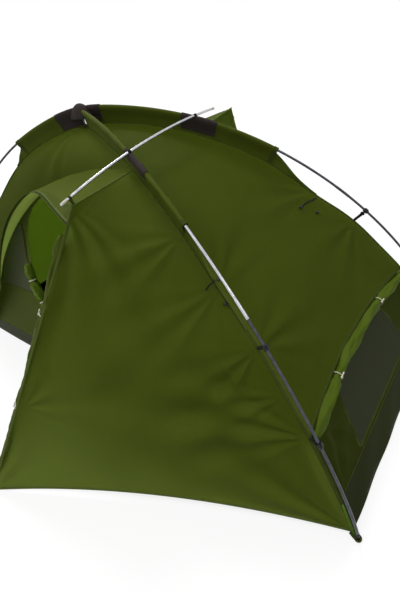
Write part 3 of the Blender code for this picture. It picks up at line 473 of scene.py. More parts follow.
def ripstop(name, dark, light, through, roughness, share_through):
    """Plain-woven nylon with a heavier thread every 5 mm, coated with silicone on one
    side: an even olive with a faint square grid, hardly a shine on its folds, and a
    yellow-green light through it that fills the inside."""
    mat, tree = finish_tree(name)
    cloth = add(tree, "ShaderNodeUVMap", uv_map="UVMap").outputs[0]
    parts = add(tree, "ShaderNodeSeparateXYZ", {0: cloth})
    lines = []
    for axis in (0, 1):
        fold = maths(tree, "PINGPONG", parts.outputs[axis], RIPSTOP_PITCH / 2)
        lines.append(spread_over(tree, fold, 1.0, 0.0, RIPSTOP_THREAD * 0.4, RIPSTOP_THREAD))
    grid = maths(tree, "MAXIMUM", *lines)
    place = add(tree, "ShaderNodeTexCoord").outputs["Object"]
    blotch = noise(tree, place, 3.2, 3.0)
    weave = noise(tree, cloth, 900.0, 1.0)
    crinkle = noise(tree, place, 38.0, 4.0, Roughness=0.6, Distortion=0.9)
    tone = maths(tree, "MULTIPLY", blotch, 0.85)
    tone = maths(tree, "MULTIPLY_ADD", weave, 0.15, tone)
    tone = maths(tree, "MULTIPLY_ADD", grid, 0.14, tone)
    colour = two_tone(tree, tone, dark, light)
    gloss = spread_over(tree, crinkle, roughness - 0.07, roughness + 0.08)
    fine = bump(tree, maths(tree, "MULTIPLY_ADD", grid, 0.25, weave), 0.25, 0.0003)
    folds = bump(tree, crinkle, 0.35, 0.003, Normal=fine)
    front = add(tree, "ShaderNodeBsdfPrincipled", {"Base Color": colour, "Roughness": gloss, "IOR": 1.45,
                                                   "Specular IOR Level": 0.07, "Normal": folds})
    back = add(tree, "ShaderNodeBsdfTranslucent", {"Color": linear(through), "Normal": folds})
    both = add(tree, "ShaderNodeMixShader", {0: share_through, 1: front.outputs[0], 2: back.outputs[0]})
    add(tree, "ShaderNodeOutputMaterial", {"Surface": both.outputs[0]})
    return mat


def knitted_net(name, dark, light):
    """Warp-knitted polyester mosquito net with round holes, drawn at twice its real
    1.2 mm pitch: a dull grey-green veil that shows what lies behind it."""
    mat, tree = finish_tree(name)
    cloth = add(tree, "ShaderNodeUVMap", uv_map="UVMap").outputs[0]
    cells = add(tree, "ShaderNodeTexVoronoi", {"Vector": cloth, "Scale": 1 / NET_PITCH, "Randomness": 0.25})
    thread = spread_over(tree, cells.outputs["Distance"], 0.0, 1.0, 0.22, 0.42)
    cover = spread_over(tree, thread, 0.12, 1.0)
    colour = two_tone(tree, thread, dark, light)
    lift = bump(tree, thread, 0.3, 0.0003)
    skin_shader = add(tree, "ShaderNodeBsdfPrincipled", {"Base Color": colour, "Roughness": 0.8, "IOR": 1.5,
                                                         "Specular IOR Level": 0.1,
                                                         "Alpha": cover, "Normal": lift})
    add(tree, "ShaderNodeOutputMaterial", {"Surface": skin_shader.outputs[0]})
    return mat


def anodised(name, dark, light, roughness):
    """Drawn aluminium tube with an anodised skin, from dull to bright by its two tones,
    with a fine grain and small rub marks."""
    mat, tree = finish_tree(name)
    place = add(tree, "ShaderNodeTexCoord").outputs["Object"]
    rub = noise(tree, place, 60.0, 4.0)
    colour = two_tone(tree, rub, dark, light)
    rough = spread_over(tree, rub, roughness - 0.06, roughness + 0.1)
    lift = bump(tree, noise(tree, place, 1400.0, 1.0), 0.12, 0.0001)
    metal = add(tree, "ShaderNodeBsdfPrincipled", {"Base Color": colour, "Metallic": 1.0, "Roughness": rough,
                                                   "Normal": lift})
    add(tree, "ShaderNodeOutputMaterial", {"Surface": metal.outputs[0]})
    return mat


def woven_tape(name, dark, light, pitch):
    """Woven tape or thread: a close grain at its pitch and a dry, matt surface."""
    mat, tree = finish_tree(name)
    place = add(tree, "ShaderNodeTexCoord").outputs["Object"]
    ribs = noise(tree, place, 1 / pitch, 2.0)
    tone = maths(tree, "MULTIPLY_ADD", ribs, 0.5, noise(tree, place, 25.0, 3.0))
    lift = bump(tree, ribs, 0.5, 0.0004)
    tape = add(tree, "ShaderNodeBsdfPrincipled", {"Base Color": two_tone(tree, tone, dark, light),
                                                  "Roughness": 0.78, "IOR": 1.5,
                                                  "Specular IOR Level": 0.12, "Normal": lift})
    add(tree, "ShaderNodeOutputMaterial", {"Surface": tape.outputs[0]})
    return mat


def moulded(name, dark, light, roughness):
    """Injection-moulded acetal: smooth and waxy with a slight satin mottle."""
    mat, tree = finish_tree(name)
    place = add(tree, "ShaderNodeTexCoord").outputs["Object"]
    mottle = noise(tree, place, 240.0, 2.0)
    rough = spread_over(tree, mottle, roughness - 0.05, roughness + 0.07)
    lift = bump(tree, mottle, 0.15, 0.0002)
    plastic = add(tree, "ShaderNodeBsdfPrincipled", {"Base Color": two_tone(tree, mottle, dark, light),
                                                     "Roughness": rough, "IOR": 1.48,
                                                     "Specular IOR Level": 0.3, "Normal": lift})
    add(tree, "ShaderNodeOutputMaterial", {"Surface": plastic.outputs[0]})
    return mat


ROOF_CLOTH = ripstop("silicone_ripstop_nylon_roof", "4A5410", "5B6620", "D8E8A0", 0.55, 0.48)
SLEEVE_CLOTH = ripstop("silicone_ripstop_nylon_sleeve", "465112", "56621F", "A0B040", 0.55, 0.10)
FRONT_CLOTH = ripstop("silicone_ripstop_nylon_vestibule", "48520F", "58631C", "D8E8A0", 0.55, 0.40)
LINER_CLOTH = ripstop("uncoated_ripstop_nylon_liner", "56651A", "67762A", "E0EEB0", 0.66, 0.72)
NEAR_LINER_CLOTH = ripstop("uncoated_ripstop_nylon_liner_near", "525C24", "626C33", "C0CC90", 0.66, 0.30)
# Darker copy of the liner for the right end wall: painted shade, as that wall faces away from the lamps
END_LINER_PAINTED_SHADE_CLOTH = ripstop("uncoated_ripstop_nylon_liner_right_painted_shade", "353D0E", "434B18", "C8D890", 0.66, 0.30)
FLOOR_CLOTH = ripstop("pu_coated_nylon_groundsheet", "22270B", "2D3312", "3A4416", 0.50, 0.05)
ROLLED_CLOTH = ripstop("silicone_ripstop_nylon_flap_roll", "44560F", "5A6D1C", "A6C545", 0.50, 0.12)
DOOR_ROLL_CLOTH = ripstop("silicone_ripstop_nylon_door_roll", "424E10", "535F1C", "A6C545", 0.50, 0.12)
NET = knitted_net("knitted_polyester_net", "2E3220", "434832")
# Lighter copy of the same net for the near side window: painted light, standing in for the lit inside seen
# through it
SIDE_NET_PAINTED_LIGHT = knitted_net("knitted_polyester_net_side_painted_light", "484D38", "5E644C")
ALLOY = anodised("clear_anodised_aluminium_tube", "2C2D32", "5A5C63", 0.27)
# Lightened copy of the tube finish, a painted highlight: for the ridge pole and pole A's fourth section,
# where the lamps catch them
PAINTED_HIGHLIGHT_ALLOY = anodised("polished_anodised_aluminium_tube", "A0A2A8", "D2D4D8", 0.24)
TIP_ALLOY = anodised("hard_anodised_aluminium_tip", "151616", "2A2B2B", 0.38)
ZIP_ALLOY = anodised("painted_zinc_alloy_slider", "33332F", "55544F", 0.36)
WEBBING = woven_tape("woven_polyester_webbing", "0A0B0A", "1E1F1C", 0.0009)
OLIVE_TAPE = woven_tape("woven_nylon_seam_tape", "323B0E", "424C18", 0.0008)
GREEN_TAPE = woven_tape("woven_nylon_corner_strap", "4C6A1C", "64852F", 0.0008)
SCUFF = woven_tape("coated_polyester_scuff_patch", "231D1B", "3A3331", 0.0011)
CORD = woven_tape("braided_elastic_shock_cord", "121212", "2B2B2B", 0.0006)
CREAM = moulded("moulded_acetal_cream", "CFCAB2", "ECE8D4", 0.42)
BLACK_PLASTIC = moulded("moulded_acetal_black", "060606", "161616", 0.38)
PIPING = woven_tape("folded_nylon_binding", "4A5620", "5D6B2D", 0.0008)
THREAD = woven_tape("bonded_nylon_thread", "2C3510", "49562A", 0.0003)
COIL = woven_tape("nylon_zip_coil", "23290F", "3A431D", 0.0004)

# Meshes


def in_scene(name, data):
    obj = bpy.data.objects.new(name, data)
    bpy.context.scene.collection.objects.link(obj)
    return obj


def piece(name, verts, faces, finish, body="tent", uv=None, smooth=40):
    """A closed mesh at the origin with its finish, riding on a body unless it bends."""
    mesh = bpy.data.meshes.new(name)
    mesh.from_pydata(np.asarray(verts, float).tolist(), [], [[int(i) for i in f] for f in faces])
    shape = bmesh.new()
    shape.from_mesh(mesh)
    bmesh.ops.recalc_face_normals(shape, faces=shape.faces)
    shape.to_mesh(mesh)
    shape.free()
    if uv is not None:
        corner = np.zeros(len(mesh.loops), int)
        mesh.loops.foreach_get("vertex_index", corner)
        layer = mesh.uv_layers.new(name="UVMap")
        layer.data.foreach_set("uv", np.asarray(uv, float)[corner].ravel())
    mesh.materials.append(finish)
    mesh.shade_smooth()
    mesh.set_sharp_from_angle(angle=math.radians(smooth))
    obj = in_scene(name, mesh)
    if body:
        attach(obj, body)
    return obj


def surface_normals(grid):
    return unit(np.cross(np.gradient(grid, axis=0), np.gradient(grid, axis=1)))


def cloth_map(grid):
    """Flat coordinates of the grid's points in metres, level and uphill in its mean plane."""
    points = grid.reshape(-1, 3)
    points = points - points.mean(0)
    normal = np.linalg.svd(points, full_matrices=False)[2][2]
    up = np.array([0.0, 0.0, 1.0]) if abs(normal[2]) < 0.8 else np.array([0.0, 1.0, 0.0])
    up = unit(up - np.dot(up, normal) * normal)
    return np.stack([points @ np.cross(up, normal), points @ up], -1)


CLOTH_SHOWN = 0.0007
NET_THICK = 0.0005
PATCH_THICK = 0.0009
CAP_THICK = 0.0012


def thin_shell(grid, thickness):
    """Closed thin body around a grid."""
    rows, cols = grid.shape[:2]
    normal = surface_normals(grid)
    verts = np.vstack([(grid + normal * thickness / 2).reshape(-1, 3),
                       (grid - normal * thickness / 2).reshape(-1, 3)])
    size = rows * cols
    i, j = np.meshgrid(np.arange(rows - 1), np.arange(cols - 1), indexing="ij")
    a = (i * cols + j).ravel()
    b = a + cols
    faces = np.vstack([np.stack([a, b, b + 1, a + 1], -1),
                       size + np.stack([a, a + 1, b + 1, b], -1)]).tolist()
    rim = [k * cols for k in range(rows - 1)]
    rim += [(rows - 1) * cols + k for k in range(cols - 1)]
    rim += [k * cols + cols - 1 for k in range(rows - 1, 0, -1)]
    rim += list(range(cols - 1, 0, -1))
    for one, two in zip(rim, rim[1:] + rim[:1]):
        faces.append([two, one, size + one, size + two])
    return verts, faces


def shell_piece(name, grid, finish, thickness=CLOTH_SHOWN, uv=None):
    """A grid's thin body, with the cloth's flat coordinates on both faces."""
    verts, faces = thin_shell(grid, thickness)
    uv = np.vstack([cloth_map(grid) if uv is None else uv] * 2)
    return piece(name, verts, faces, finish, uv=uv, smooth=70)


def sheet_piece(name, grid, finish, nodes, thickness=CLOTH_SHOWN, uv=None):
    """A cloth panel with its cut size, in place of the solids that stand for it."""
    obj = shell_piece(name, grid, finish, thickness, uv)
    if nodes:
        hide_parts(*nodes)
    return obj


def border_fade(grid, depth):
    """0 on a grid's borders and 1 further in than the depth."""
    rows = np.linalg.norm(np.diff(grid, axis=0), axis=-1)
    cols = np.linalg.norm(np.diff(grid, axis=1), axis=-1)
    zero_row = np.zeros((1, grid.shape[1]))
    zero_col = np.zeros((grid.shape[0], 1))
    down = np.vstack([zero_row, np.cumsum(rows, 0)])
    over = np.hstack([zero_col, np.cumsum(cols, 1)])
    nearest = np.minimum(np.minimum(down, down[-1:] - down), np.minimum(over, over[:, -1:] - over))
    t = np.clip(nearest / depth, 0, 1)
    return t * t * (3 - 2 * t)


def fan(grid, normal, centre, heading, spread, folds, reach, height):
    """Tension folds that leave a point like the ribs of a fan."""
    away = grid - np.array(centre)
    r = np.linalg.norm(away, axis=-1)
    ahead = unit(np.array(heading, float))
    ahead = unit(square_to(ahead, normal))
    side = np.cross(normal, ahead)
    angle = np.arctan2((away * side).sum(-1), (away * ahead).sum(-1))
    wide = np.exp(-(angle / spread) ** 2)
    far = (r / reach) * np.exp(1 - r / reach)
    return height * far * wide * np.sin(folds * angle)


def crease(grid, start, stop, width, height):
    """A soft ridge along a straight line from start to stop."""
    start, stop = np.array(start, float), np.array(stop, float)
    run = stop - start
    t = ((grid - start) @ run) / (run @ run)
    nearest = start + np.clip(t, 0, 1)[..., None] * run
    d = np.linalg.norm(grid - nearest, axis=-1)
    ends = np.clip(np.minimum(t, 1 - t) * 5 + 0.15, 0, 1)
    return height * np.exp(-(d / width) ** 2) * ends


def ripple(grid, seed, height, size):
    """Slow unevenness of a panel under light tension."""
    rng = np.random.default_rng(seed)
    out = np.zeros(grid.shape[:2])
    for _ in range(7):
        wave = rng.normal(size=3)
        wave = wave / np.linalg.norm(wave) * rng.uniform(0.6, 1.6) * 2 * math.pi / size
        out += np.sin(grid @ wave + rng.uniform(0, 2 * math.pi))
    return out * height / 3


def patch(top, bottom, start, stop, us, vs):
    """Surface between four border lines; start and stop are given at the vs."""
    u, v = us[None, :, None], vs[:, None, None]
    out = (1 - v) * top[None] + v * bottom[None] + (1 - u) * start[:, None] + u * stop[:, None]
    out -= (1 - u) * (1 - v) * top[0] + u * (1 - v) * top[-1]
    out -= (1 - u) * v * bottom[0] + u * v * bottom[-1]
    return out


def drawn_in(grid):
    """The same grid with its four borders moved in square to themselves by the seam gap."""
    grid = np.array(grid, float)
    for view in (grid, grid[::-1], grid.swapaxes(0, 1), grid.swapaxes(0, 1)[::-1]):
        border, inner = view[0], view[1]
        tangent = tangents(border)
        view[0] = border + unit(square_to(inner - border, tangent)) * SEAM_GAP
    return grid


KINK_FADE = 0.08          # share of the roof's depth over which its corner at the apex flattens


def roof_grid(far, cols=111, rows=141):
    """Canopy panel over one long side, from the pole sleeves down to the zipped arch."""
    _, apex, _, right, left = side_points(far)
    arch = arch_line(far)
    below, foot = arch(0.0), arch(1.0)
    seat = seam_point(right, RIDGE_PLACE)
    us, vs = np.linspace(0, 1, cols), np.linspace(0, 0.98, rows)
    places = ROOF_START + (RIDGE_PLACE - ROOF_START) * np.clip(us / 0.45, 0, 1)
    top = seam(right, places)
    part = np.clip((us - 0.45) / 0.45, 0, 1)[:, None]
    top = np.where(us[:, None] > 0.45, seat + (apex - seat) * part, top)
    last = np.clip((us - 0.9) / 0.1, 0, 1)[:, None]
    top = np.where(us[:, None] > 0.9, apex + (below - apex) * last, top)
    corner_shift = top[0] - seam_point(left, ROOF_START)
    start = seam(left, ROOF_START + (FRONT_FOOT - ROOF_START) * vs)
    start = start + corner_shift * np.clip(1 - 12 * vs, 0, None)[:, None]
    stop = np.array([arch(v) for v in vs])
    straight = seat + (below - seat) * np.clip((us - 0.45) / 0.55, 0, 1)[:, None]
    corner = np.where(us[:, None] > 0.45, top - straight, 0.0)
    grid = patch(top, np.repeat(foot[None], cols, 0), start, stop, us, vs)
    grid += corner[None] * (np.exp(-vs / KINK_FADE) - (1 - vs))[:, None, None]
    return drawn_in(grid)


def front_grid(far, cols=111, rows=131):
    """Vestibule panel between the right leg and the edge from apex to peg."""
    _, apex, peg, right, _ = side_points(far)
    seat = seam_point(right, RIDGE_PLACE)
    hem = hem_line(far)
    us, vs = np.linspace(0, 1, cols), np.linspace(0, 1, rows)
    top = seat + (apex - seat) * us[:, None]
    bottom = np.array([hem(u) for u in us])
    start = seam(right, RIDGE_PLACE + (FRONT_FOOT - RIDGE_PLACE) * vs)
    stop = apex + (peg - apex) * vs[:, None]
    return drawn_in(patch(top, bottom, start, stop, us, vs))


def closed_door_grid(cols=91, rows=111):
    """Closed vestibule door of the far side, from the peg edge to the zipped arch."""
    _, _, peg, _, _ = side_points(True)
    arch = arch_line(True)
    below, end = arch(0.0), arch(1.0)
    us, vs = np.linspace(0, 1, cols), np.linspace(0.06, 0.98, rows)
    u = us[:, None]
    bottom = peg + (end - peg) * u + 4 * u * (1 - u) * np.array([0, -HEM_BOW, HEM_LIFT])
    top = np.repeat(below[None], cols, 0)
    start = below + (peg - below) * vs[:, None]
    stop = np.array([arch(v) for v in vs])
    return drawn_in(patch(top, bottom, start, stop, us, vs))


def wall_grid(side, us, places, extra=0.0):
    """Points of a wall: places along the legs, one row each or one for every point."""
    u = np.broadcast_to(us, (len(places), len(us)))
    s = np.broadcast_to(np.asarray(places).reshape(len(places), -1), u.shape)
    return skin(side, u.ravel(), s.ravel(), extra).reshape(*u.shape, 3)


def end_grid(side, flap, cols=101, rows=121):
    """End panel, down to the rolled flap's arched seam or to the left end's hem."""
    us = np.linspace(0, 1, cols)
    low = FLAP_SEAM - FLAP_ARCH * 4 * us * (1 - us) if flap else np.full(cols, LEFT_HEM)
    k = np.linspace(0, 1, rows)[:, None]
    return drawn_in(wall_grid(side, us, ROOF_START + (low - ROOF_START) * k))


def settled(grid, marks, seed, height=0.0016, size=0.35, depth=0.045):
    """The grid with its folds and unevenness, still at its seams; folds rise outwards."""
    normal = surface_normals(grid)
    middle = grid[grid.shape[0] // 2, grid.shape[1] // 2]
    if np.dot(normal[grid.shape[0] // 2, grid.shape[1] // 2], middle - TENT_MIDDLE) < 0:
        normal = -normal
    move = ripple(grid, seed, height, size)
    for mark in marks:
        make = {"fan": lambda *m: fan(grid, normal, *m), "crease": lambda *m: crease(grid, *m)}[mark[0]]
        move = move + make(*mark[1:])
    return grid + normal * (move * border_fade(grid, depth))[..., None]


def symmetric(*quarter):
    """Closed outline from the points of its first quarter, the first of them on the x axis."""
    left = [(-x, y) for x, y in quarter[::-1]]
    return [*quarter, *left, *[(x, -y) for x, y in left[-2::-1]], *[(x, -y) for x, y in quarter[:0:-1]]]


def sweep_rings(points, outline, up):
    """Rings of an outline (across, up) carried along a line of points."""
    points = np.asarray(points, float)
    tangent = tangents(points)
    up = np.broadcast_to(np.asarray(up, float), points.shape)
    up = unit(square_to(up, tangent))
    across = np.cross(tangent, up)
    outline = np.asarray(outline, float)
    return points[:, None] + outline[None, :, :1] * across[:, None] + outline[None, :, 1:] * up[:, None]


def loft_faces(count, sides, base=0, flip=False):
    i, j = np.meshgrid(np.arange(count - 1), np.arange(sides), indexing="ij")
    k = (j + 1) % sides
    quads = np.stack([i * sides + j, i * sides + k, (i + 1) * sides + k, (i + 1) * sides + j], -1) + base
    quads = quads.reshape(-1, 4)
    return (quads[:, ::-1] if flip else quads).tolist()


def ring_faces(count, sides):
    """Faces of a loft whose last ring joins its first one."""
    last = (count - 1) * sides
    return loft_faces(count, sides) + [[last + j, last + (j + 1) % sides, (j + 1) % sides, j]
                                       for j in range(sides)]


def loft(name, rings, finish, body="tent", bore=None, nodes=(), smooth=40):
    """Skin over rings, solid or with a bore, with its cloth map round and along it."""
    rings = np.asarray(rings, float)
    count, sides = rings.shape[:2]
    verts = rings.reshape(-1, 3)
    faces = loft_faces(count, sides)
    last = (count - 1) * sides
    if bore is None:
        faces.append(list(range(sides - 1, -1, -1)))
        faces.append([last + j for j in range(sides)])
    else:
        inner = np.asarray(bore, float).reshape(-1, 3)
        base = len(verts)
        verts = np.vstack([verts, inner])
        faces += loft_faces(count, sides, base, flip=True)
        for j in range(sides):
            k = (j + 1) % sides
            faces.append([j, base + j, base + k, k])
            faces.append([last + j, last + k, base + last + k, base + last + j])
    round_step = np.linalg.norm(np.diff(rings, axis=1, append=rings[:, :1]), axis=-1)
    around = np.cumsum(round_step, 1) - round_step
    run = run_along(rings.mean(1))
    flat = np.stack([around, np.repeat(run[:, None], sides, 1)], -1).reshape(-1, 2)
    if bore is not None:
        flat = np.vstack([flat, flat])
    obj = piece(name, verts, faces, finish, body, flat, smooth)
    if nodes:
        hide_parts(*nodes)
    return obj

# Camera, as the photograph was taken

def set_camera():
    level = math.cos(CAMERA_PITCH)
    back = Vector((math.sin(CAMERA_YAW) * level, -math.cos(CAMERA_YAW) * level, math.sin(CAMERA_PITCH)))
    right = (-back).cross(Vector((0, 0, 1))).normalized()
    up = right.cross(-back)
    cos, sin = math.cos(CAMERA_ROLL), math.sin(CAMERA_ROLL)
    turned_right = cos * right + sin * up
    turned_up = cos * up - sin * right
    data = bpy.data.cameras.new("photo_camera")
    data.sensor_width = 36.0
    data.lens = PHOTO_FOCAL * data.sensor_width / PHOTO_HEIGHT
    data.shift_x, data.shift_y = (shift / PHOTO_HEIGHT for shift in PHOTO_SHIFT)
    data.clip_start = 0.05
    camera = in_scene("photo_camera", data)
    turn = Matrix((turned_right, turned_up, back)).transposed().to_4x4()
    camera.matrix_world = Matrix.Translation(CAMERA_PLACE) @ turn
    bpy.context.scene.camera = camera


set_camera()

# Trims

BINDING_OVERHANG = 0.0012     # how far a binding stands past the border it covers
BINDING_STEP = 0.010
ARCH_TAPE = 0.0075
HEM_TAPE = 0.011
STITCH_INSET = 0.0016         # from a binding's inner edge to its stitches
SEWN_LINES = []           # stitch runs: points with the way each faces
COIL_LINES = []           # zip coils


def dense(points, step):
    """The same line with points a step apart."""
    points = np.asarray(points, float)
    run = run_along(points)
    at = np.linspace(0, run[-1], max(3, int(run[-1] / step) + 1))
    return between(at, run, points)


def facing_out(points, normal):
    sign = np.sign((normal * (points - TENT_MIDDLE)).sum(-1).mean())
    return normal * sign


def flat_tape(name, points, normal, width, thick, finish, lift=0.0, sewn=()):
    """Tape with rounded edges along a line, lying square to the normals."""
    points = np.asarray(points, float)
    normal = np.broadcast_to(np.asarray(normal, float), points.shape)
    w, t = width / 2, thick / 2
    e = min(w * 0.5, t * 1.4)
    outline = symmetric((w, 0.0), (w - e * 0.3, t * 0.75), (w - e, t))
    rings = sweep_rings(points + normal * lift, outline, normal)
    obj = loft(name, rings, finish, smooth=50)
    tangent = tangents(points)
    side = np.cross(tangent, unit(normal))
    for share_out in sewn:
        SEWN_LINES.append((points + normal * (lift + t) + side * w * share_out, unit(normal)))
    return obj


def binding(name, border, inner, width, thick, finish=None):
    """Tape folded over a panel's border, sewn along its inner edge."""
    tangent = tangents(border)
    into = unit(square_to(inner - border, tangent))
    normal = facing_out(border, np.cross(tangent, into))
    line = border + into * (width / 2 - BINDING_OVERHANG)
    run = np.linalg.norm(np.diff(line, axis=0), axis=1).sum()
    keep = np.unique(np.linspace(0, len(line) - 1, max(8, int(run / BINDING_STEP))).astype(int))
    stitched = line[keep] + into[keep] * (width / 2 - STITCH_INSET) + normal[keep] * thick / 2
    SEWN_LINES.append((stitched, normal[keep]))
    return flat_tape(name, line[keep], normal[keep], width, thick, finish or PIPING)


def bead_run_tree(name):
    """Beads at a pitch along a line, turned to it and to the way it faces: stitches or
    the coil of a zip."""
    tree = bpy.data.node_groups.new(name, "GeometryNodeTree")
    face = tree.interface
    face.new_socket("Geometry", in_out="INPUT", socket_type="NodeSocketGeometry")
    for label in ("Pitch", "Along", "Across", "Rise"):
        face.new_socket(label, in_out="INPUT", socket_type="NodeSocketFloat")
    face.new_socket("Finish", in_out="INPUT", socket_type="NodeSocketMaterial")
    face.new_socket("Geometry", in_out="OUTPUT", socket_type="NodeSocketGeometry")
    given = add(tree, "NodeGroupInput").outputs
    line = add(tree, "GeometryNodeMeshToCurve", {"Mesh": given["Geometry"]}).outputs["Curve"]
    even = add(tree, "GeometryNodeResampleCurve", {"Curve": line, "Length": given["Pitch"]}, mode="LENGTH")
    bead = add(tree, "GeometryNodeMeshUVSphere", {"Segments": 6, "Rings": 4, "Radius": 1.0}).outputs["Mesh"]
    tangent = add(tree, "GeometryNodeInputTangent").outputs["Tangent"]
    outward = add(tree, "GeometryNodeInputNamedAttribute", {"Name": "faces"}, data_type="FLOAT_VECTOR")
    along = add(tree, "FunctionNodeAlignRotationToVector", {"Vector": tangent}, axis="X")
    turned = add(tree, "FunctionNodeAlignRotationToVector",
                 {"Rotation": along.outputs[0], "Vector": outward.outputs["Attribute"]}, axis="Z",
                 pivot_axis="X")
    size = add(tree, "ShaderNodeCombineXYZ", {"X": given["Along"], "Y": given["Across"], "Z": given["Rise"]})
    beads = add(tree, "GeometryNodeInstanceOnPoints",
                {"Points": even.outputs["Curve"], "Instance": bead, "Rotation": turned.outputs[0],
                 "Scale": size.outputs[0]})
    real = add(tree, "GeometryNodeRealizeInstances", {"Geometry": beads.outputs["Instances"]})
    painted = add(tree, "GeometryNodeSetMaterial", {"Geometry": real.outputs[0], "Material": given["Finish"]})
    add(tree, "NodeGroupOutput", {"Geometry": painted.outputs[0]})
    return tree


def bead_run(name, lines, finish, pitch, along, across, rise):
    """One mesh of beads along all the given lines."""
    verts, edges, faces_way = [], [], []
    for points, normal in lines:
        base = len(verts)
        verts += [tuple(p) for p in points]
        faces_way += [tuple(n) for n in np.broadcast_to(normal, np.shape(points))]
        edges += [(base + k, base + k + 1) for k in range(len(points) - 1)]
    mesh = bpy.data.meshes.new(f"{name}_lines")
    mesh.from_pydata(verts, edges, [])
    way = mesh.attributes.new("faces", "FLOAT_VECTOR", "POINT")
    way.data.foreach_set("vector", np.array(faces_way, np.float32).ravel())
    guide = in_scene(f"{name}_lines", mesh)
    tree = bead_run_tree(f"{name}_run")
    mod = guide.modifiers.new("run", "NODES")
    mod.node_group = tree
    values = {"Pitch": pitch, "Along": along, "Across": across, "Rise": rise, "Finish": finish}
    for item in tree.interface.items_tree:
        if item.in_out == "INPUT" and item.name in values:
            mod[item.identifier] = values[item.name]
    graph = bpy.context.evaluated_depsgraph_get()
    made = bpy.data.meshes.new_from_object(guide.evaluated_get(graph))
    guide.modifiers.clear()
    bpy.data.objects.remove(guide, do_unlink=True)
    made.shade_smooth()
    obj = in_scene(name, made)
    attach(obj, "tent")


# Canopy

def leg_point(leg, s):
    return tuple(seam_point(leg, s))


SLEEVE_FOOT = leg_point("near_right", SLEEVE_END_RIGHT)
FAR_SLEEVE_FOOT = leg_point("far_right", SLEEVE_END_RIGHT)
NEAR_HOOK = leg_point("near_right", 0.49)
FAR_HOOK = leg_point("far_right", 0.49)
NEAR_CLIPS = [leg_point("near_right", s) for s in CLIP_PLACES]
FAR_CLIPS = [leg_point("far_right", s) for s in CLIP_PLACES]
NEAR_FOOT = leg_point("near_right", FRONT_FOOT)
NEAR_LEFT_FOOT = leg_point("near_left", FRONT_FOOT)
PEG = (PEG_X, -PEG_Y, 0.0)
FAR_PEG = (PEG_X, PEG_Y, 0.0)
LOW_TOGGLE = (0.091, -0.783, 0.345)


